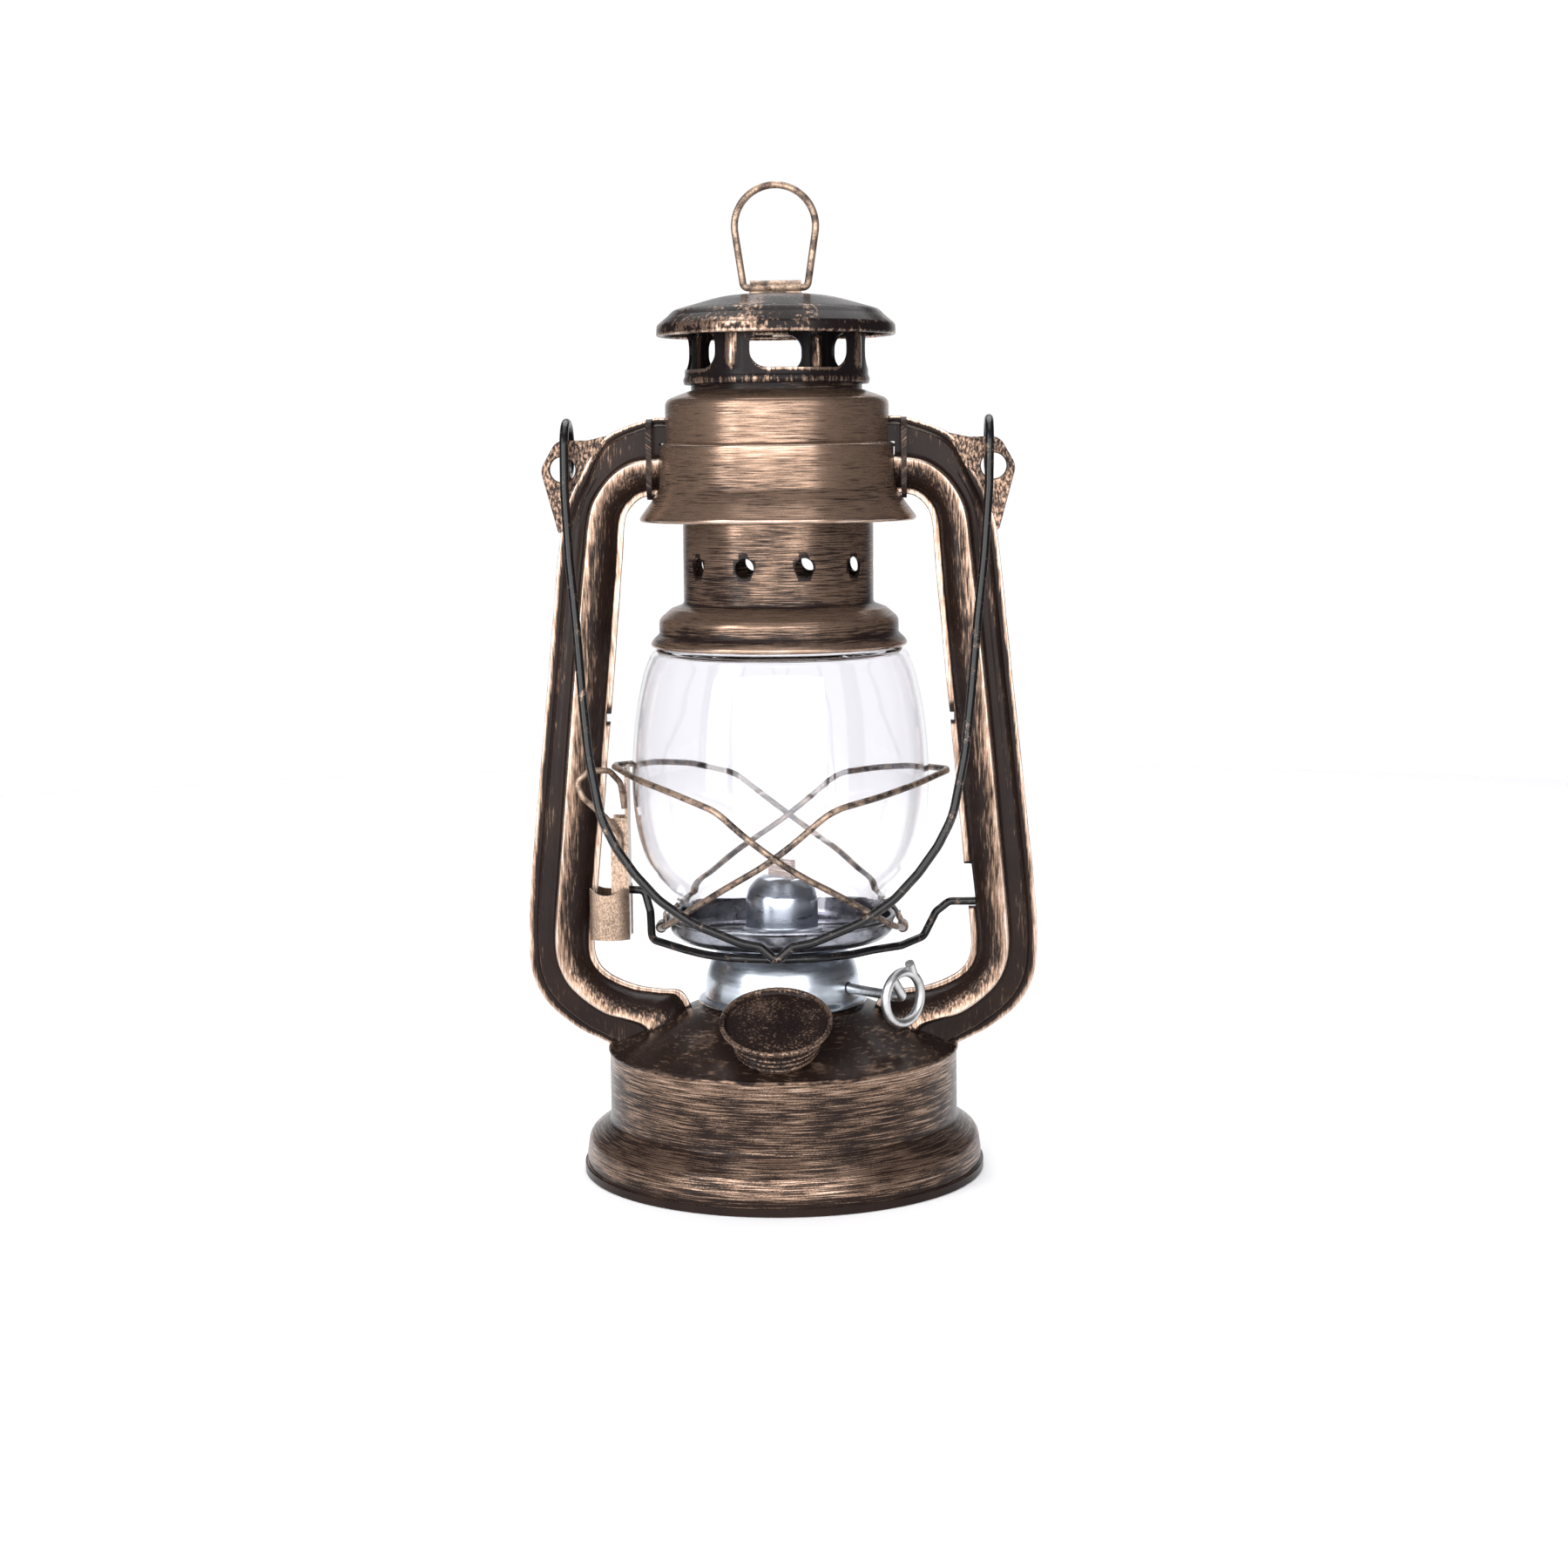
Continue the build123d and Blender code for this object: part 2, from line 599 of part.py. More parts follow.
# ---------------------------------------------------------------- chimney
def globe_bell():
    """Bell over the globe and its perforated neck."""
    bell = pressed(
        [(37.3, 158.4), (37.3, 160.4), (35.6, 161.4), (35.6, 166.2), (32.0, 169.3), (NECK_OUT_R, 170.6),
         (NECK_OUT_R, 195.8), (FLUE_R + 0.4, 197.2)],
        [0.7, 0.7, 2.4, 1.2, 1.0, 1.0],
    )
    bell += bead(37.1, 158.8, 0.95)
    for index in range(HOLE_COUNT):
        turn = Rot(0, 0, -90 + 18 + 36 * index)
        bell -= turn * Pos(NECK_OUT_R, 0, HOLE_Z) * Rot(0, 90, 0) * Cylinder(HOLE_R, 6)
    return bell


def inner_chimney():
    """Flue from the neck up into the crown."""
    return turned([
        (FLUE_R - SHEET, 189.0), (FLUE_R, 189.0), (FLUE_R, CROWN_Z + 2), (FLUE_R - SHEET, CROWN_Z + 2),
    ])


def chimney_crown():
    """Crown on the flue: four posts with raised flutes between four rounded windows."""
    crown = turned([
        (FLUE_R + 0.02, CROWN_Z), (CROWN_R, CROWN_Z), (CROWN_R + 0.2, CROWN_Z + 1.4), (CROWN_R - 0.3, CROWN_Z + 2.6),
        (CROWN_R - 0.3, CROWN_TOP_Z + 3), (CROWN_R - 1.1, CROWN_TOP_Z + 3), (CROWN_R - 1.1, CROWN_Z + SHEET),
        (FLUE_R + 0.02, CROWN_Z + SHEET),
    ])
    window_w = 2 * CROWN_R * sin(radians(WINDOW_ANGLE / 2))
    window = extrude(Plane.YZ * RectangleRounded(window_w, WINDOW_H, 4.6), 50)
    for index in range(4):
        post = FIRST_POST_ANGLE - 90 + 90 * index
        flute = Cylinder(1.5, WINDOW_H + 1.5) & Pos(1.5, 0, 0) * Box(3, 4, 40)
        crown += Rot(0, 0, post) * Pos(CROWN_R - 0.9, 0, WINDOW_Z) * flute
        crown -= Rot(0, 0, post + 45) * Pos(0, 0, WINDOW_Z) * window
    return crown


def chimney_cap():
    """Shallow domed cap with a stepped, rolled rim."""
    cap = pressed(
        [(CAP_R, 250.0), (CAP_R, 252.2), (31.6, 255.2), (30.4, 256.5), (16.0, 260.2), (0.3, CAP_TOP_Z)],
        [1.4, 1.2, 1.0, 60.0],
    )
    return cap + bead(CAP_R - 0.7, 249.8, 0.8)


def ring_strap():
    """Strap rolled over the foot of the ring."""
    tunnel = Cylinder(2.1, 15)
    feet = Pos(0, 0, CAP_TOP_Z + 0.36) * Box(15, 10, 0.7)
    bore = Rot(0, 90, 0) * Cylinder(RING_WIRE_R + RUNNING, 20)
    return Pos(0, 0, RING_Z) * (Rot(0, 90, 0) * tunnel - bore) + (feet - Pos(0, 0, RING_Z) * bore)


def top_ring():
    """Round-topped ring with a straight foot bar; its ends butt inside the strap."""
    top_r = 11.9
    splay = radians(8.5)
    mid_z = 17.7
    side = (top_r * cos(splay), mid_z - top_r * sin(splay))
    foot_x = side[0] - side[1] * tan(splay)
    half = [(0.04, 0, 0), (foot_x, 0, 0), (side[0], 0, side[1])]
    right = FilletPolyline(*half, radius=[1.6])
    left = FilletPolyline(*[(-x, y, z) for x, y, z in reversed(half)], radius=[1.6])
    over = ThreePointArc((side[0], 0, side[1]), (0, 0, mid_z + top_r), (-side[0], 0, side[1]))
    path = Wire(right.edges() + over.edges() + left.edges())
    ring = sweep(Plane(origin=path @ 0, z_dir=path % 0) * Circle(RING_WIRE_R), path=path)
    return Pos(0, 0, RING_Z) * ring


# ---------------------------------------------------------------- bail
def bail():
    """Carrying bail: two closed eyes through the ears and a vee grip at the middle."""
    reach = [
        (BAIL_X, 0.0), (BAIL_X - 0.3, 14.0), (60.6, 34.0), (58.6, 52.0), (56.4, 76.0), (54.6, 92.0),
        (51.0, 110.0), (46.6, 118.6), (41.0, 126.4), (34.0, 134.0), (24.6, 140.6), (10.0, 146.6),
        (4.6, 147.6), (0.0, 151.6),
    ]
    right = [(x, -EYE_R, -d) for x, d in reach]
    points = [(-x, y, z) for x, y, z in right] + [p for p in reversed(right[:-1])]
    bends = [60.0, 60.0, 40.0, 60.0, 60.0, 26.0, 14.0, 20.0, 20.0, 26.0, 14.0, 1.6]
    middle = FilletPolyline(*points, radius=bends + [2.0] + bends[::-1])
    eyes = []
    end = radians(-128)
    for x in (-BAIL_X, BAIL_X):
        start = (x, -EYE_R, 0)
        over = (x, EYE_R * cos(radians(26)), EYE_R * sin(radians(26)))
        stop = (x, EYE_R * cos(end), EYE_R * sin(end))
        eyes.append(ThreePointArc(start, over, stop))
    path = Wire(eyes[0].edges() + middle.edges() + eyes[1].edges())
    hook = Plane(origin=path @ 0, z_dir=path % 0)
    rod = sweep(hook * Circle(BAIL_WIRE_R), path=path)
    return Pos(0, 0, BAIL_Z) * Rot(-BAIL_LEAN, 0, 0) * rod


# ---------------------------------------------------------------- the nodes
def main():
    right = {"front": tube_half(slotted=True)}
    left = {"front": mirror_x(tube_half(slotted=False))}
    for halves, name in ((right, "right"), (left, "left")):
        save(f"{name}_tube_front", halves["front"])
        save(f"{name}_tube_back", mirror(halves["front"], about=Plane.XZ))
    save("right_tube_collar", tube_collar())
    save("left_tube_collar", mirror_x(tube_collar()))
    mouths = tube_mouths()
    plain = {
        "tank_bottom": tank_bottom(),
        "tank_wall": tank_wall(),
        "tank_top": tank_top() - filler_hole(),
        "filler_neck": filler_neck(),
        "filler_cap": filler_cap(),
        "filler_gasket": filler_gasket(),
        "burner_collar": burner_collar(),
        "burner_body": burner_body(),
        "draft_plate": draft_plate(),
        "wick_tube": wick_tube(),
        "burner_dome": burner_dome(),
        "wick": wick(),
        "wick_shaft": wick_shaft(),
        "wick_wheels": wick_wheels(),
        "wick_knob": wick_knob(),
        "hood_body": hood_body() - mouths,
        "hood_top": hood_top() - mouths,
        "globe": globe(),
        "globe_plate": globe_plate(),
        "plate_tabs": plate_tabs(),
        "guard_wire_left": guard_wire(-1, GUARD_LEFT_Z, GUARD_LEFT_R),
        "guard_wire_right": guard_wire(1, GUARD_RIGHT_Z, GUARD_RIGHT_R),
        "lift_wire": lift_wire(),
        "lift_handle": lift_handle(),
        "finger_loop": finger_loop(),
        "globe_bell": globe_bell(),
        "inner_chimney": inner_chimney(),
        "chimney_crown": chimney_crown(),
        "chimney_cap": chimney_cap(),
        "ring_strap": ring_strap(),
        "top_ring": top_ring(),
        "bail": bail(),
    }
    for node, shape in plain.items():
        save(node, shape)


main()
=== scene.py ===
from math import atan2, cos, degrees, hypot, pi, radians, sin, tan

import bpy
import numpy as np
from mathutils import Matrix, Vector, noise


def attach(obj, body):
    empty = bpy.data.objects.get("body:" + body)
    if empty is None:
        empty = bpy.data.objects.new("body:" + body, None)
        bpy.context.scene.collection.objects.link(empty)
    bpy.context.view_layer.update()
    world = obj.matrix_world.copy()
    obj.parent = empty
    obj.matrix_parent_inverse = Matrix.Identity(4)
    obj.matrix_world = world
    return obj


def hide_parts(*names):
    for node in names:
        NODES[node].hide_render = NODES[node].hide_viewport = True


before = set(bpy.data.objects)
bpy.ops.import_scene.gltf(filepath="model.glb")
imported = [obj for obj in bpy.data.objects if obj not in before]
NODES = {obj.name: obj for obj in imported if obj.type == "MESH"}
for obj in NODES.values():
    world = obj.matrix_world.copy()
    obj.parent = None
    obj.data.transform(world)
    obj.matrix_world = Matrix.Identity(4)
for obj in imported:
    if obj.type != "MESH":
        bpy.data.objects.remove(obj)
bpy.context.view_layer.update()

MM = 0.001
WEAR_GAIN = 2.2                  # how soon a bend in the sheet counts as a worn edge

# ---------------------------------------------------------------- camera, floor and lights
CAMERA_DISTANCE = 0.812          # from the lantern's axis
CAMERA_HEIGHT = 0.2167
CAMERA_YAW = radians(2.5)        # the lantern's front is turned a little to the viewer's left
CAMERA_PITCH = radians(7.05)     # looking down
CAMERA_ROLL = radians(0.58)
CAMERA_SIDE = 0.001
LENS = 62.6                      # mm on a sensor of SENSOR mm
SENSOR = 36.0
FLOOR_R, FLOOR_Z = 1050, -0.2    # mm; just under the foot


def make_camera():
    data = bpy.data.cameras.new("camera")
    data.lens = LENS
    data.sensor_width = SENSOR
    camera = bpy.data.objects.new("camera", data)
    bpy.context.scene.collection.objects.link(camera)
    turn = Matrix.Rotation(CAMERA_YAW, 4, "Z")
    place = Matrix.Translation((CAMERA_SIDE, -CAMERA_DISTANCE, CAMERA_HEIGHT))
    tilt = Matrix.Rotation(radians(90) - CAMERA_PITCH, 4, "X")
    roll = Matrix.Rotation(-CAMERA_ROLL, 4, "Z")
    camera.matrix_world = turn @ place @ tilt @ roll
    bpy.context.scene.camera = camera


def area_light(name, azimuth, distance, height, size, power, aim):
    """Soft box at an azimuth from the front (left is negative), pointing at a height on the axis.

    Distances are in metres, the azimuth in degrees and the power in watts.
    """
    data = bpy.data.lights.new(name, "AREA")
    data.shape = "RECTANGLE"
    data.size, data.size_y = size
    data.energy = power
    light = bpy.data.objects.new(name, data)
    bpy.context.scene.collection.objects.link(light)
    angle = radians(azimuth)
    light.location = (distance * sin(angle), -distance * cos(angle), height)
    to_lantern = Vector((0, 0, aim)) - light.location
    light.rotation_euler = to_lantern.to_track_quat("-Z", "Y").to_euler()


def make_lights():
    """A broad box in front, a narrow one at the left, and two from above for the floor and the cap."""
    area_light("left_box", -47, 1.35, 0.45, (0.42, 1.5), 14, aim=0.2)
    area_light("front_box", 2, 1.5, 0.50, (2.3, 1.4), 42, aim=0.2)
    area_light("top_box", 0, 0.05, 1.7, (1.3, 1.3), 12, aim=0.15)
    area_light("back_box", 180, 0.8, 1.5, (1.6, 1.0), 17, aim=0.0)
    bpy.context.scene.view_settings.view_transform = "Standard"


def make_world():
    """Studio surroundings: white straight behind, lit in front, dark at the sides."""
    world = bpy.data.worlds.new("studio")
    world.use_nodes = True
    tree = world.node_tree
    way = add(tree, "ShaderNodeSeparateXYZ")
    feed(tree, add(tree, "ShaderNodeTexCoord").outputs["Generated"], way, 0)
    toward = math_node(tree, "MULTIPLY", way.outputs[1], -1.0)
    azimuth = math_node(tree, "ARCTAN2", way.outputs[0], toward)
    left = ramp(tree, azimuth, -1.7, -0.9)
    right = ramp(tree, azimuth, 0.7, 1.4)
    front = math_node(tree, "SUBTRACT", left, right, clamp=True)
    behind = ramp(tree, way.outputs[1], 0.80, 0.92)
    dark = (0.10, 0.10, 0.11, 1)
    pale = (0.30, 0.30, 0.33, 1)
    white = (1.02, 1.02, 1.04, 1)
    colour = mix(tree, behind, mix(tree, front, dark, pale), white)
    feed(tree, colour, tree.nodes["Background"], "Color")
    bpy.context.scene.world = world


def make_floor():
    """Plain pale round table top."""
    floor = turned("floor", [(0, FLOOR_Z), (400, FLOOR_Z), (FLOOR_R, FLOOR_Z)], 96)
    paper, tree, shader = material("floor_paper")
    grain = noise_node(tree, position(tree), 9.0, 2.0, 0.5)
    colour = mix(tree, grain, (0.94, 0.94, 0.95, 1), (0.96, 0.96, 0.96, 1))
    feed(tree, colour, shader, "Base Color")
    shader.inputs["Roughness"].default_value = 0.9
    floor.data.materials.append(paper)


# ---------------------------------------------------------------- mesh helpers
def lathe_rings(outline, segments, closed=False):
    """Vertices and faces of an outline of (radius, height) in mm turned about Z.

    Returns also the outline index of each vertex. Points on the axis become one vertex.
    """
    verts, faces, rows, owner = [], [], [], []
    for index, (r, z) in enumerate(outline):
        if r < 1e-6:
            rows.append([len(verts)] * segments)
            verts.append((0, 0, z * MM))
            owner.append(index)
            continue
        rows.append(list(range(len(verts), len(verts) + segments)))
        for k in range(segments):
            angle = 2 * pi * k / segments
            verts.append((r * MM * cos(angle), r * MM * sin(angle), z * MM))
            owner.append(index)
    pairs = list(zip(rows, rows[1:]))
    if closed:
        pairs.append((rows[-1], rows[0]))
    for low, high in pairs:
        for k in range(segments):
            n = (k + 1) % segments
            quad = [low[k], low[n], high[n], high[k]]
            face = [v for i, v in enumerate(quad) if v not in quad[:i]]
            if len(face) > 2:
                faces.append(face)
    return verts, faces, owner


def rounded(points, radii, step=0.9):
    """Outline with each inner corner rounded by a radius, and long runs divided every few steps."""
    run = [Vector(points[0])]
    for index in range(1, len(points) - 1):
        a, b, c = (Vector(points[index + k]) for k in (-1, 0, 1))
        into, out = (b - a).normalized(), (c - b).normalized()
        turn = into.angle_signed(out)
        radius = radii[index - 1]
        if abs(turn) < radians(1) or radius <= 0:
            run.append(b)
            continue
        reach = min(radius * tan(abs(turn) / 2), 0.49 * (b - a).length, 0.49 * (c - b).length)
        pieces = max(3, int(abs(degrees(turn)) / 12))
        start, end = b - into * reach, b + out * reach
        for k in range(pieces + 1):
            t = k / pieces
            # a quadratic curve, close to round for the turns used here
            run.append(start * (1 - t) ** 2 + b * 2 * t * (1 - t) + end * t ** 2)
    run.append(Vector(points[-1]))
    fine = [run[0]]
    for a, b in zip(run, run[1:]):
        count = max(1, int((b - a).length / (step * 3)))
        for k in range(1, count + 1):
            fine.append(a + (b - a) * k / count)
    return [(p.x, p.y) for p in fine]


def roll(centre, radius, start, end, count=9):
    """Points of a rolled edge: an arc about (radius, height) from one angle to another, degrees."""
    points = []
    for k in range(count):
        angle = radians(start + (end - start) * k / (count - 1))
        points.append((centre[0] + radius * cos(angle), centre[1] + radius * sin(angle)))
    return points


def new_object(name, verts, faces):
    mesh = bpy.data.meshes.new(name)
    mesh.from_pydata([tuple(v) for v in verts], [], faces)
    mesh.update()
    piece = bpy.data.objects.new(name, mesh)
    bpy.context.scene.collection.objects.link(piece)
    return piece


def apply_modifiers(piece):
    """Replace the piece's mesh with what its modifiers make of it."""
    graph = bpy.context.evaluated_depsgraph_get()
    mesh = bpy.data.meshes.new_from_object(piece.evaluated_get(graph))
    old = piece.data
    piece.modifiers.clear()
    piece.data = mesh
    bpy.data.meshes.remove(old)
    return piece


def closed_grid(rows, around):
    """Faces of a tube of rings, each with the same number of points around."""
    faces = []
    for i in range(rows):
        for k in range(around):
            n = (k + 1) % around
            low, high = i * around, (i + 1) * around
            faces.append((low + k, low + n, high + n, high + k))
    return faces


def thicken(piece, thickness):
    """Give an open sheet its thickness, inward of its normals."""
    solid = piece.modifiers.new("sheet", "SOLIDIFY")
    solid.thickness = thickness * MM
    solid.offset = -1.0
    solid.use_even_offset = True
    return apply_modifiers(piece)


def cut(piece, cutters):
    """Cut other objects out of a closed piece and remove them."""
    for cutter in cutters:
        knife = piece.modifiers.new("cut", "BOOLEAN")
        knife.object = cutter
        knife.operation = "DIFFERENCE"
        knife.solver = "MANIFOLD"
    apply_modifiers(piece)
    for cutter in cutters:
        bpy.data.objects.remove(cutter)
    return piece


def rod_between(a, b, radius, segments=48):
    """Plain round cutter from a to b, in mm."""
    start, end = Vector(a) * MM, Vector(b) * MM
    turn = (end - start).to_track_quat("Z", "Y").to_matrix()
    verts = []
    for base in (start, end):
        for k in range(segments):
            angle = 2 * pi * k / segments
            verts.append(base + turn @ Vector((cos(angle), sin(angle), 0)) * radius * MM)
    faces = [list(range(segments))[::-1], list(range(segments, 2 * segments))]
    for k in range(segments):
        n = (k + 1) % segments
        faces.append([k, n, segments + n, segments + k])
    return new_object("cutter", verts, faces)


def box_cutter(low, high, turn=0.0):
    """Plain box cutter in mm, turned about Z by degrees."""
    (x0, y0, z0), (x1, y1, z1) = low, high
    corners = [(x, y, z) for z in (z0, z1) for y in (y0, y1) for x in (x0, x1)]
    rotation = Matrix.Rotation(radians(turn), 3, "Z")
    verts = [rotation @ (Vector(c) * MM) for c in corners]
    faces = [(0, 2, 3, 1), (4, 5, 7, 6), (0, 1, 5, 4), (2, 6, 7, 3), (0, 4, 6, 2), (1, 3, 7, 5)]
    return new_object("cutter", verts, faces)


def rounded_box(width, height, radius, near, far):
    """Cutter along X from near to far, a rounded rectangle in Y and Z, in mm."""
    loop = []
    for corner, (sy, sz) in enumerate(((1, 1), (-1, 1), (-1, -1), (1, -1))):
        for k in range(9):
            angle = pi / 2 * (corner + k / 8)
            loop.append((sy * (width / 2 - radius) + radius * cos(angle),
                         sz * (height / 2 - radius) + radius * sin(angle)))
    count = len(loop)
    verts = [Vector((x, y, z)) * MM for x in (near, far) for y, z in loop]
    faces = [list(range(count))[::-1], list(range(count, 2 * count))]
    faces += [[k, (k + 1) % count, count + (k + 1) % count, count + k] for k in range(count)]
    return new_object("cutter", verts, faces)


def wobble(piece, amount, size):
    """Slight unevenness of pressed sheet: moves each point along its normal by smooth noise."""
    mesh = piece.data
    for vertex in mesh.vertices:
        push = noise.noise(vertex.co / (size * MM))
        vertex.co += vertex.normal * push * amount * MM
    mesh.update()


def store_wear_and_painted_light(piece, values):
    """Keep a number for each vertex that the materials read: 1 is rubbed bright, 0 is still dark; on the side
    tubes the numbers also paint highlights and shade.
    """
    layer = piece.data.attributes.new("wear_and_painted_light", "FLOAT", "POINT")
    layer.data.foreach_set("value", np.array(values, np.float32))


def wear_from_shape(piece, passes=3):
    """Store how strongly each point stands out (1 on worn edges, 0 in hollows) as 'wear_and_painted_light'.
    """
    mesh = piece.data
    count = len(mesh.vertices)
    co = np.zeros(count * 3)
    mesh.vertices.foreach_get("co", co)
    co = co.reshape(-1, 3)
    normal = np.zeros(count * 3)
    mesh.vertices.foreach_get("normal", normal)
    normal = normal.reshape(-1, 3)
    edges = np.zeros(len(mesh.edges) * 2, int)
    mesh.edges.foreach_get("vertices", edges)
    a, b = edges.reshape(-1, 2).T
    along = co[b] - co[a]
    length = np.maximum(np.linalg.norm(along, axis=1), 1e-7)
    bend_a = -np.einsum("ij,ij->i", along, normal[a]) / length ** 2
    bend_b = np.einsum("ij,ij->i", along, normal[b]) / length ** 2
    total = np.zeros(count)
    links = np.zeros(count)
    np.add.at(total, a, bend_a)
    np.add.at(total, b, bend_b)
    np.add.at(links, a, 1)
    np.add.at(links, b, 1)
    value = total / np.maximum(links, 1)
    for _ in range(passes):
        spread = value.copy()
        np.add.at(spread, a, value[b])
        np.add.at(spread, b, value[a])
        value = spread / (links + 1)
    store_wear_and_painted_light(piece, 0.5 + 0.5 * np.tanh(value * MM * WEAR_GAIN))


def dress(piece, material, body, replaced=(), sharp=40):
    """Smooth shading, edge rubbing, material and body for a finished piece."""
    mesh = piece.data
    if "wear_and_painted_light" not in mesh.attributes:
        wear_from_shape(piece)
    mesh.materials.clear()
    mesh.materials.append(material)
    mesh.shade_smooth()
    mesh.set_sharp_from_angle(angle=radians(sharp))
    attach(piece, body)
    if replaced:
        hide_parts(*replaced)
    return piece


def turned(name, outline, segments=192, closed=False):
    """Object made by turning an outline of (radius, height) about Z."""
    verts, faces = lathe_rings(outline, segments, closed)[:2]
    return new_object(name, verts, faces)


def sheet_ring(name, outline, thickness=0.8, segments=192, uneven=0.05):
    """Pressed sheet ring: outer face through an outline that runs from low to high."""
    piece = turned(name, outline, segments)
    wobble(piece, uneven, 17)
    thicken(piece, thickness)
    wear_from_shape(piece)
    return piece


# ---------------------------------------------------------------- materials
def material(name):
    """New material with its node tree and its shader."""
    made = bpy.data.materials.new(name)
    made.use_nodes = True
    return made, made.node_tree, made.node_tree.nodes["Principled BSDF"]


def add(tree, kind, **settings):
    node = tree.nodes.new(kind)
    for key, value in settings.items():
        setattr(node, key, value)
    return node


def feed(tree, source, target, socket):
    """Link a socket or set a value."""
    if isinstance(source, bpy.types.NodeSocket):
        tree.links.new(source, target.inputs[socket])
    else:
        target.inputs[socket].default_value = source


def math_node(tree, operation, a, b=0.0, clamp=False):
    node = add(tree, "ShaderNodeMath", operation=operation, use_clamp=clamp)
    feed(tree, a, node, 0)
    feed(tree, b, node, 1)
    return node.outputs[0]


def ramp(tree, source, low, high):
    """0 below low, 1 above high, smooth between."""
    node = add(tree, "ShaderNodeMapRange", interpolation_type="SMOOTHSTEP")
    feed(tree, source, node, "Value")
    node.inputs["From Min"].default_value = low
    node.inputs["From Max"].default_value = high
    return node.outputs["Result"]


def mix(tree, factor, a, b):
    node = add(tree, "ShaderNodeMix", data_type="RGBA")
    feed(tree, factor, node, "Factor")
    feed(tree, a, node, 6)
    feed(tree, b, node, 7)
    return node.outputs[2]


def noise_node(tree, vector, scale, detail=4.0, roughness=0.6):
    node = add(tree, "ShaderNodeTexNoise")
    feed(tree, vector, node, "Vector")
    node.inputs["Scale"].default_value = scale
    node.inputs["Detail"].default_value = detail
    node.inputs["Roughness"].default_value = roughness
    return node.outputs["Fac"]


def position(tree):
    return add(tree, "ShaderNodeTexCoord").outputs["Object"]


def about_middle(tree, value, share):
    """A noise value's distance from one half, times a share."""
    return math_node(tree, "MULTIPLY", math_node(tree, "SUBTRACT", value, 0.5), share)


def add_bump(tree, shader, height, strength, distance):
    """Fine relief from a height value; the distance is in metres."""
    bump = add(tree, "ShaderNodeBump")
    bump.inputs["Strength"].default_value = strength
    bump.inputs["Distance"].default_value = distance
    feed(tree, height, bump, "Height")
    feed(tree, bump.outputs[0], shader, "Normal")


def stretched(tree, vector, scale):
    node = add(tree, "ShaderNodeMapping")
    feed(tree, vector, node, "Vector")
    node.inputs["Scale"].default_value = scale
    return node.outputs["Vector"]


def brush_vector(tree, along, across, lean=0.8):
    """Coordinates whose noise runs in level streaks round the Z axis."""
    place = position(tree)
    split = add(tree, "ShaderNodeSeparateXYZ")
    feed(tree, place, split, 0)
    flat = add(tree, "ShaderNodeCombineXYZ")
    feed(tree, split.outputs[0], flat, 0)
    feed(tree, split.outputs[1], flat, 1)
    size = add(tree, "ShaderNodeVectorMath", operation="LENGTH")
    feed(tree, flat.outputs[0], size, 0)
    radius = size.outputs["Value"]
    rise = math_node(tree, "MULTIPLY", radius, lean)
    level = math_node(tree, "SUBTRACT", split.outputs[2], rise)
    joined = add(tree, "ShaderNodeCombineXYZ")
    feed(tree, math_node(tree, "MULTIPLY", split.outputs[0], along), joined, 0)
    feed(tree, math_node(tree, "MULTIPLY", split.outputs[1], along), joined, 1)
    feed(tree, math_node(tree, "MULTIPLY", level, across), joined, 2)
    return joined.outputs[0]


BLACK = (0.006, 0.0045, 0.0055, 1)
DARK_BROWN = (0.030, 0.016, 0.010, 1)
COPPER = (0.28, 0.183, 0.130, 1)
PALE_COPPER = (0.57, 0.455, 0.385, 1)
LIGHT_BRONZE = (0.40, 0.285, 0.21, 1)
BARE_LEVEL, LEVEL_SPAN = 0.73, 0.42      # noise level of the copper's border: none of it, and all less none
STREAK_ROUGHNESS = 0.14                  # how much rougher the strokes' ridges are


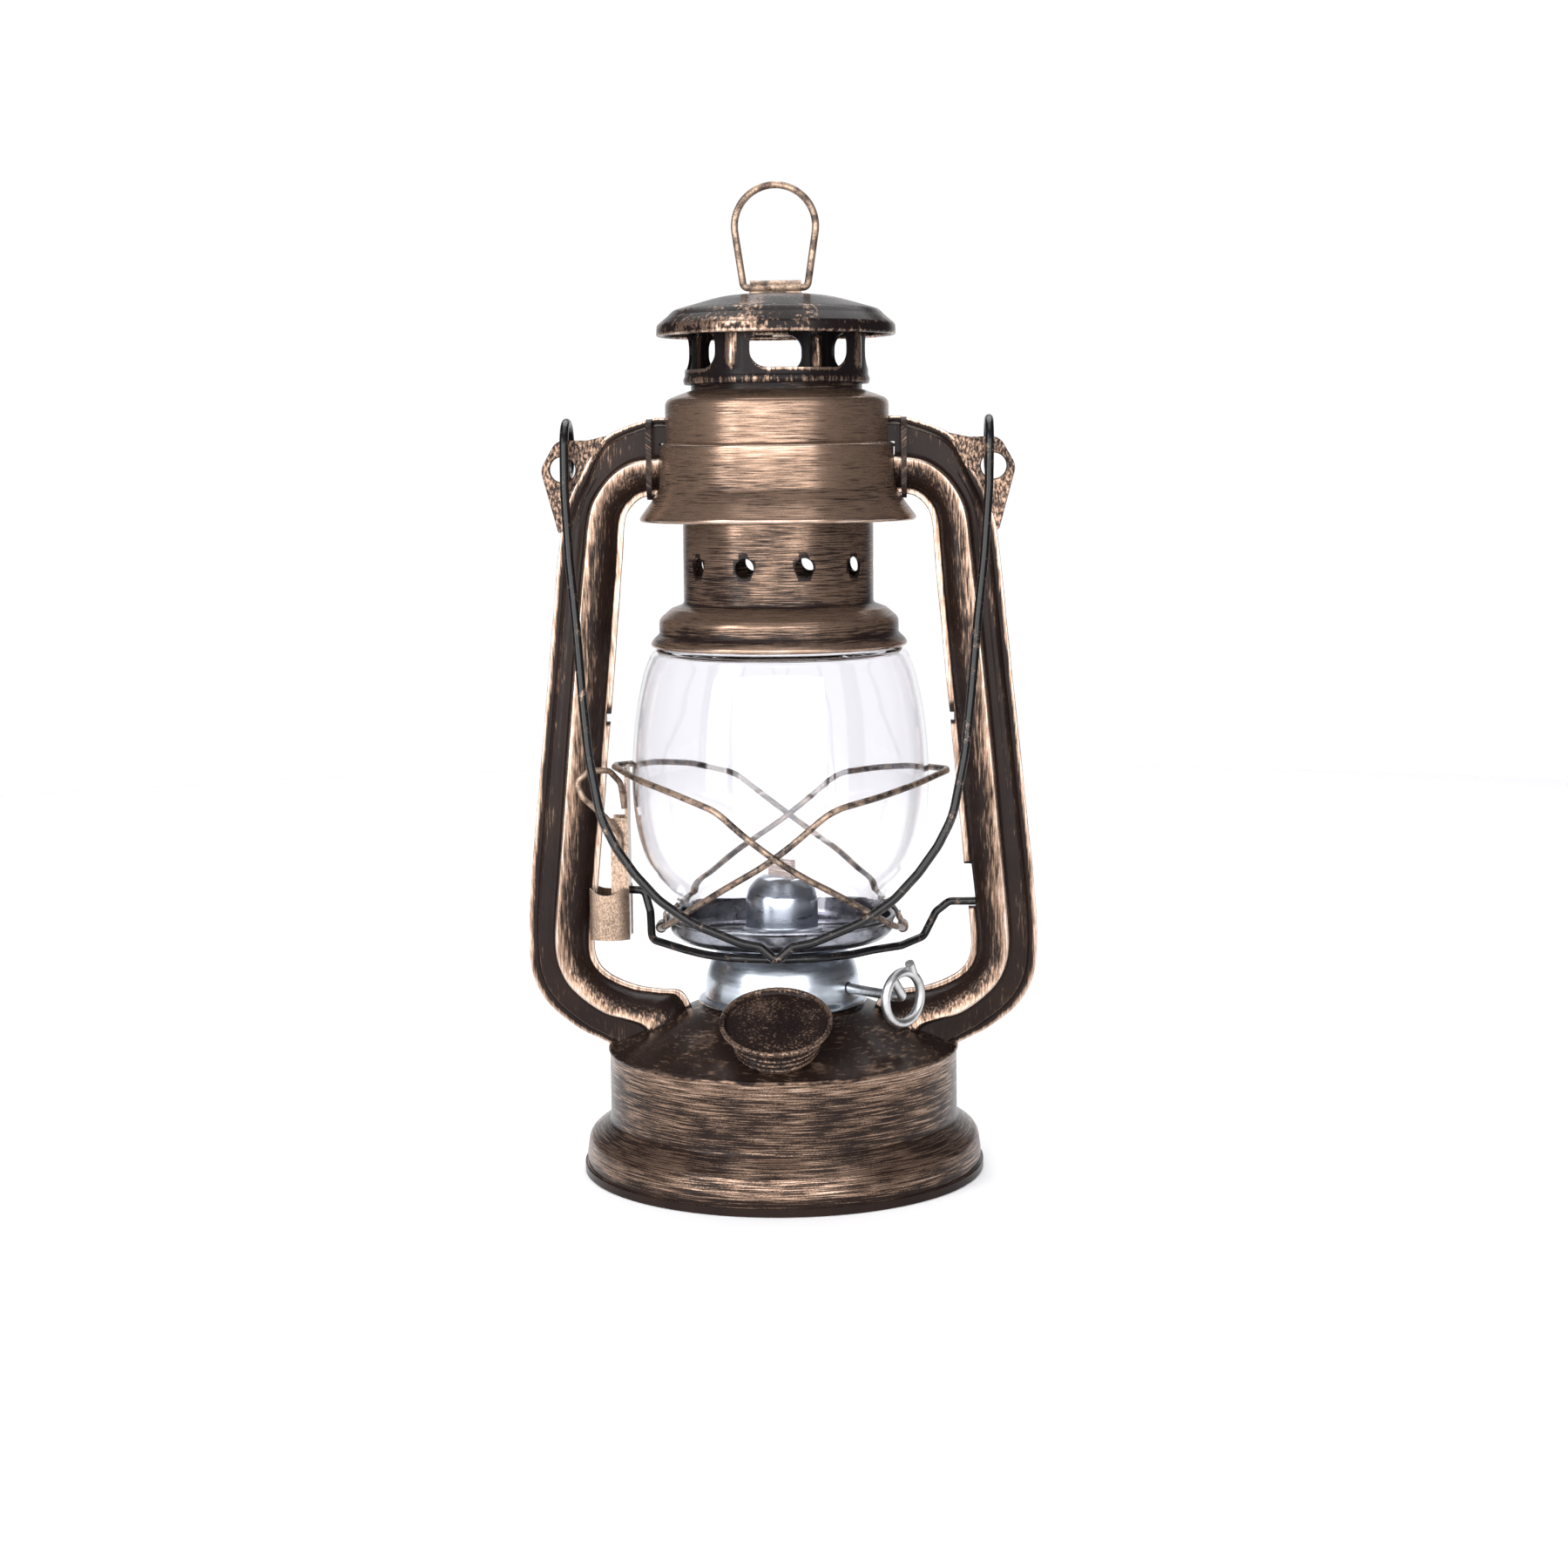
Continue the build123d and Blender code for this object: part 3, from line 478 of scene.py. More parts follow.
def antiqued(name, streaks=(110.0, 4200.0), cover=0.5, soft=0.16, brown=0.5, worn=True, isotropic=False,
             edge=0.34, blotch=0.30, grit_share=0.16, copper_tone=COPPER):
    """Near-black paint with a copper top coat dragged over it by brush, rubbed on its edges.

    streaks are cells per metre along and across the strokes, round the Z axis unless isotropic.
    cover is the share of copper, soft the width of its border, brown the warmth of the paint.
    edge, blotch and grit_share say how far rubbed edges (on the side tubes also painted highlights and
    shade), patches and specks move that border.
    """
    made, tree, shader = material(name)
    if isotropic:
        strokes = stretched(tree, position(tree), (streaks[1], streaks[1], streaks[0]))
    else:
        strokes = brush_vector(tree, *streaks)
    fine = noise_node(tree, strokes, 1.0, 3.0, 0.6)
    patches = noise_node(tree, position(tree), 70.0, 3.0, 0.55)
    grit = noise_node(tree, position(tree), 2600.0, 2.0, 0.6)
    amount = math_node(tree, "ADD", fine, about_middle(tree, patches, blotch))
    amount = math_node(tree, "ADD", amount, about_middle(tree, grit, grit_share))
    if worn:
        # Read the rubbed-edge attribute; on the side tubes it also carries painted highlights and painted
        # shade.
        wear_and_painted_light = add(tree, "ShaderNodeAttribute", attribute_name="wear_and_painted_light").outputs["Fac"]
        amount = math_node(tree, "ADD", amount, about_middle(tree, wear_and_painted_light, edge))
    centre = BARE_LEVEL - LEVEL_SPAN * cover
    copper = ramp(tree, amount, centre - soft, centre + soft)
    bright = ramp(tree, amount, centre + soft * 0.6, centre + soft * 2.6)
    tone = mix(tree, math_node(tree, "MULTIPLY", patches, brown), BLACK, DARK_BROWN)
    metal = mix(tree, bright, copper_tone, PALE_COPPER)
    feed(tree, mix(tree, copper, tone, metal), shader, "Base Color")
    feed(tree, math_node(tree, "MULTIPLY", copper, 0.94), shader, "Metallic")
    rough = math_node(tree, "ADD", 0.19, math_node(tree, "MULTIPLY", fine, STREAK_ROUGHNESS))
    feed(tree, rough, shader, "Roughness")
    shader.inputs["Specular IOR Level"].default_value = 0.10
    add_bump(tree, shader, amount, 0.14, 0.00006)
    return made


def plated(name, colour, roughness, along, across, contrast=0.08, strength=0.12):
    """Bright metal with fine circular brushing and faint clouding."""
    made, tree, shader = material(name)
    fine = noise_node(tree, brush_vector(tree, along, across), 1.0, 4.0, 0.6)
    cloud = noise_node(tree, position(tree), 130.0, 3.0, 0.5)
    brushed = math_node(tree, "MULTIPLY", fine, 0.6)
    mixed = math_node(tree, "ADD", brushed, math_node(tree, "MULTIPLY", cloud, 0.4))
    dark = tuple(c * (1 - 4 * contrast) for c in colour[:3]) + (1,)
    feed(tree, mix(tree, ramp(tree, mixed, 0.35, 0.62), dark, colour), shader, "Base Color")
    shader.inputs["Metallic"].default_value = 1.0
    rough = math_node(tree, "ADD", roughness, math_node(tree, "MULTIPLY", fine, STREAK_ROUGHNESS))
    feed(tree, rough, shader, "Roughness")
    add_bump(tree, shader, fine, strength, 0.00004)
    return made


def enamel_wire(name, base, copper_share, roughness=0.26):
    """Painted wire: glossy dark coat with rubbed copper in patches."""
    made, tree, shader = material(name)
    spots = noise_node(tree, position(tree), 260.0, 5.0, 0.7)
    specks = noise_node(tree, position(tree), 2200.0, 3.0, 0.6)
    amount = math_node(tree, "ADD", spots, math_node(tree, "MULTIPLY", specks, 0.35))
    centre = 0.98 - LEVEL_SPAN * copper_share
    copper = ramp(tree, amount, centre - 0.15, centre + 0.15)
    feed(tree, mix(tree, copper, base, LIGHT_BRONZE), shader, "Base Color")
    shader.inputs["Specular IOR Level"].default_value = 0.3
    feed(tree, math_node(tree, "MULTIPLY", copper, 0.9), shader, "Metallic")
    rough = math_node(tree, "ADD", roughness, math_node(tree, "MULTIPLY", copper, STREAK_ROUGHNESS))
    feed(tree, rough, shader, "Roughness")
    add_bump(tree, shader, amount, 0.25, 0.00005)
    return made


def clear_glass():
    """Blown glass with a faint lavender tint and slow waves in its surface."""
    made, tree, shader = material("clear_glass")
    shader.inputs["Base Color"].default_value = (0.985, 0.980, 1.0, 1)
    shader.inputs["Roughness"].default_value = 0.015
    shader.inputs["IOR"].default_value = 1.47
    shader.inputs["Transmission Weight"].default_value = 1.0
    waves = noise_node(tree, stretched(tree, position(tree), (1.0, 1.0, 0.35)), 60.0, 2.0, 0.5)
    add_bump(tree, shader, waves, 0.05, 0.0006)
    return made


def wick_cotton():
    """Flat woven cotton: fine crossing threads over a warm off-white."""
    made, tree, shader = material("wick_cotton")
    place = position(tree)
    threads = []
    for direction, distortion in (("DIAGONAL", 1.2), ("Z", 1.0)):
        thread = add(tree, "ShaderNodeTexWave", wave_type="BANDS", bands_direction=direction)
        feed(tree, place, thread, "Vector")
        thread.inputs["Scale"].default_value = 420.0
        thread.inputs["Distortion"].default_value = distortion
        threads.append(thread.outputs["Fac"])
    weave = math_node(tree, "MULTIPLY", *threads)
    fibre = noise_node(tree, place, 1800.0, 4.0, 0.7)
    woven = math_node(tree, "MULTIPLY", weave, 0.6)
    shade = math_node(tree, "ADD", woven, math_node(tree, "MULTIPLY", fibre, 0.5))
    colour = mix(tree, ramp(tree, shade, 0.2, 0.8), (0.52, 0.38, 0.33, 1), (0.86, 0.76, 0.70, 1))
    feed(tree, colour, shader, "Base Color")
    shader.inputs["Roughness"].default_value = 0.92
    shader.inputs["Sheen Weight"].default_value = 0.3
    add_bump(tree, shader, shade, 0.6, 0.00012)
    return made


def seal_rubber():
    """Black rubber with a little dust on it."""
    made, tree, shader = material("seal_rubber")
    dust = noise_node(tree, position(tree), 900.0, 5.0, 0.65)
    colour = mix(tree, ramp(tree, dust, 0.4, 0.7), (0.02, 0.02, 0.02, 1), (0.06, 0.055, 0.05, 1))
    feed(tree, colour, shader, "Base Color")
    feed(tree, math_node(tree, "ADD", 0.6, math_node(tree, "MULTIPLY", dust, 0.3)), shader, "Roughness")
    return made


def make_materials():
    return {
        "sheet": antiqued("antiqued_sheet", cover=0.58, soft=0.20, edge=1.0),
        "foot": antiqued("antiqued_foot", streaks=(80.0, 3000.0), cover=0.37, brown=0.9, soft=0.11,
                         blotch=0.25, edge=0.6, grit_share=0.30),
        "bell": antiqued("antiqued_bell", cover=0.42, soft=0.18, blotch=0.4, edge=0.9),
        "tube": antiqued("antiqued_tube", streaks=(160.0, 2100.0), cover=0.30, isotropic=True,
                         edge=1.0, soft=0.17, brown=0.8, blotch=0.5),
        "dark": antiqued("dark_sheet", streaks=(300.0, 700.0), cover=0.02, brown=0.9, edge=0.5,
                         soft=0.2, blotch=1.0),
        "dark_speckled": antiqued("dark_cap", streaks=(1300.0, 1300.0), cover=0.05, isotropic=True,
                                  brown=0.5, edge=0.40, blotch=0.9),
        "pale_edge": antiqued("rubbed_edge", streaks=(700.0, 1500.0), cover=0.46, isotropic=True,
                              worn=False),
        "cap": antiqued("antiqued_cap", streaks=(500.0, 900.0), cover=0.06, isotropic=True,
                        edge=0.80, brown=0.3, blotch=1.2, soft=0.12),
        "crown": antiqued("antiqued_crown", streaks=(160.0, 1200.0), cover=0.16, isotropic=True,
                          edge=1.0, soft=0.14, brown=0.2),
        "bronze_wire": enamel_wire("bronzed_wire", (0.028, 0.02, 0.016, 1), 0.62),
        "ring_wire": enamel_wire("ring_wire", (0.05, 0.03, 0.02, 1), 0.70, 0.3),
        "flue": antiqued("antiqued_flue", streaks=(110.0, 3200.0), cover=0.16, worn=False),
        "plate": plated("plate_sheet", (0.30, 0.31, 0.35, 1), 0.22, 400.0, 900.0, contrast=0.12),
        "handle": antiqued("handle_sheet", streaks=(1500.0, 2600.0), cover=0.85, isotropic=True,
                           worn=False, soft=0.25, copper_tone=LIGHT_BRONZE),
        "black_wire": enamel_wire("black_wire", (0.005, 0.0045, 0.005, 1), 0.22, 0.2),
        "zinc": plated("zinc_sheet", (0.63, 0.69, 0.76, 1), 0.22, 120.0, 900.0, contrast=0.04,
                       strength=0.04),
        "steel": plated("knob_steel", (0.62, 0.62, 0.62, 1), 0.30, 500.0, 900.0),
        "glass": clear_glass(),
        "cotton": wick_cotton(),
        "rubber": seal_rubber(),
    }


# ---------------------------------------------------------------- the lantern's sizes, in mm
# Outlines are points of (radius, height); the radii that go with them round their inner corners.
SHEET = 0.8
TANK_R = 52.5
SHOULDER_Z = 36.3
DOME_TOP_R, DOME_TOP_Z = 25.2, 49.9
DOME_SLOPE = (DOME_TOP_Z - SHOULDER_Z - 1.0) / (TANK_R - DOME_TOP_R)
FILLER_REACH = 40.0
NECK_R, NECK_H = 9.0, 6.5
THREAD_PITCH, THREAD_H = 3.0, 0.17
KNOB_ANGLE = -42.0
HOLE_Z, HOLE_R, HOLE_COUNT = 182.0, 2.9, 10
NECK_OUT_R, FLUE_R = 28.2, 25.2
PLATE_Z = 70.2
GLASS = 1.3
HOOD_LOW_R, HOOD_TOP_R = 35.1, 33.0
HOOD_STEP_Z, HOOD_TOP_Z = 218.0, 233.2
CROWN_R, CROWN_Z = 27.3, 235.0
CROWN_POST = -116.0              # angle of a post between two windows
WINDOW_W, WINDOW_H, WINDOW_CORNER, WINDOW_Z = 29.3, 11.1, 4.6, 244.9
FLUTE_HALF, FLUTE_H = 5.0, 0.6   # degrees each side of a post's middle, and how far the post stands out
WICK_W, WICK_T, WICK_LOW, WICK_TOP, WICK_CORD = 9.7, 1.7, 16.1, 93.7, 0.9
EAR_X, EAR_Z, EAR_HOLE_R = 63.8, 210.6, 4.2


def dome_z(radius):
    """Height of the tank's sloping top at a distance from the axis."""
    return DOME_TOP_Z - (radius - DOME_TOP_R) * DOME_SLOPE


def smooth_run(points, steps):
    """Curve through points of any dimension (Catmull-Rom), with some steps between each two."""
    rows = [np.array(p, float) for p in points]
    rows = [2 * rows[0] - rows[1]] + rows + [2 * rows[-1] - rows[-2]]
    run = []
    for i in range(1, len(rows) - 2):
        p0, p1, p2, p3 = rows[i - 1:i + 3]
        for k in range(steps):
            t = k / steps
            run.append(0.5 * (2 * p1 + (p2 - p0) * t + (2 * p0 - 5 * p1 + 4 * p2 - p3) * t * t
                              + (3 * p1 - p0 - 3 * p2 + p3) * t ** 3))
    run.append(rows[-2])
    return run


# ---------------------------------------------------------------- fuel tank and filler
def filler_place():
    """Matrix of the filler: origin on the dome, Z along the neck."""
    tilt = Matrix.Rotation(atan2(DOME_SLOPE, 1), 4, "X")
    return Matrix.Translation(Vector((0, -FILLER_REACH, dome_z(FILLER_REACH))) * MM) @ tilt


def make_tank(m):
    """Wall with its flared foot, and the sloping top with the filler's hole."""
    wall = roll((59.2, 1.34), 1.2, 200, 430, 14)
    wall += rounded([(59.6, 2.9), (59.75, 4.8), (58.9, 10.9), (TANK_R, 15.4), (TANK_R, SHOULDER_Z)],
                    [3, 4, 2.4])
    piece = sheet_ring("tank_shell", wall, uneven=0.10, segments=224)
    dress(piece, m["foot"], "frame", ["tank_wall"])

    top = roll((52.35, 36.75), 0.6, -80, 110, 8)
    top += rounded([(51.8, 37.5), (DOME_TOP_R, DOME_TOP_Z), (20.0, DOME_TOP_Z)], [9.0])
    dome = sheet_ring("tank_dome", top, uneven=0.12, segments=224)
    slope = atan2(DOME_SLOPE, 1)
    axis = Vector((0, -sin(slope), cos(slope)))
    base = Vector((0, -FILLER_REACH, dome_z(FILLER_REACH)))
    cut(dome, [rod_between(base - axis * 4, base + axis * 4, NECK_R - SHEET)])
    dress(dome, m["dark"], "frame", ["tank_top"])


def make_filler(m):
    """Threaded neck and the screw cap with its dished, speckled top."""
    rows, segments = 60, 96
    verts = []
    for i in range(rows + 1):
        z = SHEET + (NECK_H - SHEET) * i / rows
        fade = min(1.0, min(i, rows - i) / 8)
        for k in range(segments):
            angle = 2 * pi * k / segments
            ridge = THREAD_H * fade * (0.5 + 0.5 * cos(2 * pi * z / THREAD_PITCH - angle))
            r = (NECK_R + ridge) * MM
            verts.append((r * cos(angle), r * sin(angle), z * MM))
    neck = new_object("filler_thread", verts, closed_grid(rows, segments))
    thicken(neck, SHEET)
    seam = [(9.0, 0.02), (10.2, 0.02), (10.2, 0.5), (9.9, 0.8), (9.0, 0.9)]
    foot = turned("filler_foot", seam, segments, closed=True)
    for piece, nodes in ((neck, ["filler_neck"]), (foot, [])):
        piece.data.transform(filler_place())
        dress(piece, m["dark"], "frame", nodes)

    skirt = smooth_run([(11.2, 1.6), (12.0, 1.8), (12.5, 2.6), (12.1, 3.5), (12.9, 4.5), (12.5, 5.4),
                        (13.5, 6.5), (13.2, 7.4), (14.6, 9.3), (16.1, 10.3), (16.3, 11.0)], 5)
    rim = roll((15.55, 11.05), 0.75, 0, 180, 9)
    dish = rounded([(14.8, 11.05), (14.3, 10.3), (7.0, 10.1), (0, 10.1)], [0.5, 20])
    inside = [(0, 8.7), (9.3, 8.7), (9.3, 1.7)]
    outline = [tuple(p) for p in skirt] + rim[1:] + dish[1:] + inside
    cap = turned("filler_screw_cap", outline, 160, closed=True)
    wobble(cap, 0.08, 6)
    cap.data.transform(filler_place())
    dress(cap, m["dark_speckled"], "filler_cap", ["filler_cap"])


# ---------------------------------------------------------------- burner
def make_burner(m):
    """Burner case with the shaft's hole, and the flame dome with the wick's slot."""
    case = rounded([(25.4, 50.95), (25.2, 51.6), (23.5, 52.4), (23.1, 56.0)], [0.5, 0.8], step=0.5)
    bowl = smooth_run([(23.1, 56.2), (22.7, 59.3), (21.4, 63.0), (18.9, 66.5), (16.4, 67.9)], 6)
    case += [tuple(p) for p in bowl]
    body = sheet_ring("burner_case", case, segments=160, uneven=0.03)
    shaft = Vector((cos(radians(KNOB_ANGLE)), sin(radians(KNOB_ANGLE)), 0))
    start = Vector((-shaft.y, shaft.x, 0)) * 5.0 + Vector((0, 0, 56.3))
    cut(body, [rod_between(start + shaft * 10, start + shaft * 40, 1.9)])
    dress(body, m["zinc"], "frame", ["burner_body"])

    dome_run = rounded([(14.0, 68.75), (12.1, 69.6), (12.1, 73.4), (10.9, 74.2), (10.8, 83.2), (6.9, 88.1),
                        (0.4, 89.3)], [0.5, 0.8, 0.8, 5.0, 4.5], step=0.4)
    dome = sheet_ring("flame_dome", dome_run, segments=144, uneven=0.03)
    slot_low, slot_high = (-6.6, -2.2, 83.0), (6.6, 2.2, 93.0)
    cut(dome, [box_cutter(slot_low, slot_high, KNOB_ANGLE)])
    dress(dome, m["zinc"], "frame", ["burner_dome"])


def make_wick(m):
    """Flat woven wick: lengthwise cords with cross threads, slightly frayed at the top."""
    around, rows = 132, 240
    verts = []
    for i in range(rows + 1):
        z = WICK_LOW + (WICK_TOP - WICK_LOW) * i / rows
        for k in range(around):
            t = 2 * pi * k / around
            flat_x = max(-1, min(1, 1.12 * cos(t)))
            flat_y = max(-1, min(1, 2.4 * sin(t)))
            x, y = flat_x * WICK_W / 2, flat_y * WICK_T / 2
            over_under = pi if int(x / WICK_CORD) % 2 else 0
            cord = 0.10 * abs(sin(pi * x / WICK_CORD)) + 0.05 * sin(2 * pi * z / 0.8 + over_under)
            fray = 0.0
            if i > rows - 4:
                fray = 0.25 * noise.noise(Vector((x * 3.1, y * 3.1, z)))
            face = 1 if y > 0 else -1
            verts.append((x, y + (cord - 0.06) * face, z + fray - (0.2 if fray else 0)))
    faces = closed_grid(rows, around)
    faces.append(tuple(range(around))[::-1])
    faces.append(tuple(range(rows * around, (rows + 1) * around)))
    piece = new_object("woven_wick", [Vector(v) * MM for v in verts], faces)
    piece.data.transform(Matrix.Rotation(radians(KNOB_ANGLE), 4, "Z"))
    dress(piece, m["cotton"], "wick", ["wick"], sharp=70)


# ---------------------------------------------------------------- globe
def make_globe(m):
    """Blown glass: swelling body on a straight foot, with a short neck."""
    foot_z = PLATE_Z + SHEET + 0.05
    body = [(28.6, foot_z + 3.0), (30.3, 79.4), (36.0, 86.8), (40.7, 94.1), (43.5, 105.2), (44.4, 118.9),
            (43.3, 136.0), (40.7, 149.4), (38.4, 155.6)]
    outer = [(28.3, foot_z + 0.1), (28.6, foot_z + 0.4), (28.6, foot_z + 1.6)]
    outer += [tuple(p) for p in smooth_run(body, 9)]
    outer += rounded([(37.6, 156.6), (36.6, 157.3), (34.3, 157.6), (34.0, 158.4), (34.0, 161.4)],
                     [1.5, 1.5, 0.6], step=0.4)
    outer += [(33.7, 161.85), (33.2, 162.0)]
    inner = []
    for index in range(len(outer) - 2):
        a = Vector(outer[max(0, index - 1)])
        b = Vector(outer[min(len(outer) - 3, index + 1)])
        run = (b - a).normalized()
        inner.append((outer[index][0] - run.y * GLASS, outer[index][1] + run.x * GLASS))
    inner = [p for p in inner if p[1] < 161.2]
    outline = outer + [(32.6, 161.9), (32.35, 161.5)] + inner[::-1]
    piece = turned("glass_globe", outline, 224, closed=True)
    dress(piece, m["glass"], "globe_carriage", ["globe"], sharp=55)


# ---------------------------------------------------------------- chimney
def make_bell(m):
    """Bell that holds the globe down, and the neck with its ring of round holes."""
    bell = roll((37.15, 158.9), 0.95, -200, 50, 14)
    bell += rounded([(37.4, 160.2), (36.2, 161.3), (35.6, 162.0), (35.6, 166.2), (32.0, 169.3),
                     (NECK_OUT_R, 170.7), (NECK_OUT_R, 195.8), (FLUE_R + 0.4, 197.2)],
                    [0.6, 0.8, 2.6, 1.2, 1.4, 1.0], step=0.7)
    piece = sheet_ring("bell_and_neck", bell, segments=200, uneven=0.07)
    drills = []
    for index in range(HOLE_COUNT):
        angle = radians(-90 + 360 / HOLE_COUNT * (index + 0.5))
        way = Vector((cos(angle), sin(angle), 0))
        up = Vector((0, 0, HOLE_Z))
        drills.append(rod_between(way * 22 + up, way * 32 + up, HOLE_R, 32))
    cut(piece, drills)
    dress(piece, m["bell"], "chimney", ["globe_bell"])


def make_cap(m):
    """Domed cap with a step near its edge and a rolled rim."""
    cap = roll((34.45, 249.8), 0.75, -210, 30, 12)
    cap += rounded([(35.15, 250.6), (35.0, 252.3), (31.8, 255.0), (30.2, 256.6), (16.0, 260.6), (0.3, 261.9)],
                   [1.4, 2.4, 3.0, 40.0], step=0.7)
    piece = sheet_ring("chimney_cap_sheet", cap, segments=192, uneven=0.15)
    dress(piece, m["cap"], "chimney", ["chimney_cap"])


def make_crown(m):
    """Crown round the top of the flue, with four rounded windows and fluted posts.

    Its wear comes from the distance to the windows' edges, the lower lip and the posts' ridges.
    """
    low, high = CROWN_Z + 2.6, CROWN_Z + 20.2
    outline = [(FLUE_R + 0.4, CROWN_Z), (CROWN_R - 0.3, CROWN_Z), (CROWN_R, CROWN_Z + 0.3),
               (CROWN_R + 0.2, CROWN_Z + 1.4), (CROWN_R - 0.2, CROWN_Z + 2.4)]
    rows = 34
    outline += [(CROWN_R - 0.3, low + (high - low) * k / rows) for k in range(rows + 1)]
    segments = 288
    verts, faces, owner = lathe_rings(outline, segments)
    wear_and_painted_light = []
    for index, vertex in enumerate(verts):
        angle = degrees(atan2(vertex[1], vertex[0])) - CROWN_POST
        off = (angle + 45) % 90 - 45
        across = (45 - abs(off)) * pi / 180 * CROWN_R
        gap_x = abs(across) - WINDOW_W / 2
        gap_z = abs(vertex[2] / MM - WINDOW_Z) - WINDOW_H / 2
        away = hypot(max(gap_x + WINDOW_CORNER, 0), max(gap_z + WINDOW_CORNER, 0)) - WINDOW_CORNER
        push = FLUTE_H * max(0.0, 1 - (off / FLUTE_HALF) ** 2) * max(0.0, min(1.0, -gap_z / 2 + 0.4))
        scale = 1 + push / CROWN_R
        verts[index] = (vertex[0] * scale, vertex[1] * scale, vertex[2])
        edge = 0.60 * max(0.0, 1 - abs(away) / 1.3)
        lip = 0.20 if owner[index] in (2, 3) else 0.0
        wear_and_painted_light.append(0.40 + max(edge, lip, 0.6 * push))
    crown = new_object("crown_sheet", verts, faces)
    store_wear_and_painted_light(crown, wear_and_painted_light)
    thicken(crown, SHEET)
    windows = []
    for index in range(4):
        shape = rounded_box(WINDOW_W, WINDOW_H, WINDOW_CORNER, 14, 40)
        turn = Matrix.Rotation(radians(CROWN_POST + 45 + 90 * index), 4, "Z")
        shape.data.transform(turn @ Matrix.Translation((0, 0, WINDOW_Z * MM)))
        windows.append(shape)
    cut(crown, windows)
    dress(crown, m["crown"], "chimney", ["chimney_crown"])


# ---------------------------------------------------------------- hood
def make_hood(m):
    """Hood in two rings, the lower one flared, both open where the side tubes come in."""
    low = roll((40.05, 195.85), 0.85, -200, 40, 12)
    low += rounded([(40.4, 196.9), (37.6, 200.6), (HOOD_LOW_R, 204.6), (HOOD_LOW_R, HOOD_STEP_Z - SHEET),
                    (HOOD_TOP_R + 0.35, HOOD_STEP_Z)], [4.0, 3.0, 0.9], step=0.7)
    body = sheet_ring("hood_skirt", low, segments=208, uneven=0.08)
    top = rounded([(HOOD_TOP_R, HOOD_STEP_Z - 7), (HOOD_TOP_R, 230.6), (FLUE_R + 0.7, HOOD_TOP_Z)],
                  [2.8], step=0.7)
    upper = sheet_ring("hood_crown", top, segments=208, uneven=0.08)
    for piece, node in ((body, "hood_body"), (upper, "hood_top")):
        cut(piece, [box_cutter((-45, -7, 208.5), (45, 7, 216.5))])
        dress(piece, m["sheet"], "frame", [node])


# ---------------------------------------------------------------- side tubes
# Each station: inner edge (x, z), outer edge (x, z), crest from the inner edge,
# outer flange width, crest height, outer panel height.
TUBE_STATIONS = [
    ((31.0, 203.0), (31.0, 225.2), 10.4, 1.2, 7.2, 4.4),
    ((37.5, 202.6), (37.5, 225.2), 10.3, 1.4, 7.2, 4.2),
    ((40.8, 201.8), (51.3, 219.9), 10.0, 1.8, 7.0, 3.8),
    ((43.9, 198.9), (58.6, 208.6), 9.7, 2.2, 7.0, 3.6),
    ((45.6, 194.6), (63.4, 197.6), 9.9, 2.2, 7.0, 3.6),
    ((46.5, 183.3), (65.6, 185.2), 10.4, 2.2, 7.0, 3.7),
    ((48.9, 156.5), (68.3, 158.4), 10.9, 2.2, 7.0, 3.8),
    ((51.4, 130.0), (71.1, 131.9), 11.0, 2.2, 7.0, 3.8),
    ((53.8, 103.5), (73.9, 105.5), 11.0, 2.3, 7.0, 3.8),
    ((56.0, 80.5), (76.2, 82.2), 10.9, 2.4, 7.0, 3.8),
    ((56.9, 68.0), (76.75, 67.4), 10.7, 2.4, 7.0, 3.8),
    ((55.6, 62.0), (75.3, 56.6), 10.3, 2.4, 7.1, 3.8),
    ((51.4, 58.0), (70.4, 48.6), 10.5, 2.4, 7.3, 3.9),
    ((44.0, 55.0), (62.1, 41.9), 11.6, 2.2, 7.8, 4.2),
    ((36.5, 53.9), (56.2, 38.8), 12.6, 2.0, 8.4, 4.6),
    ((30.6, 53.0), (50.4, 35.6), 13.6, 1.6, 9.2, 5.2),
    ((26.8, 46.5), (45.8, 30.6), 13.6, 1.4, 9.8, 6.0),
]
INNER_FLANGE = 1.9
GUARD_NOTCH_X = 51.2


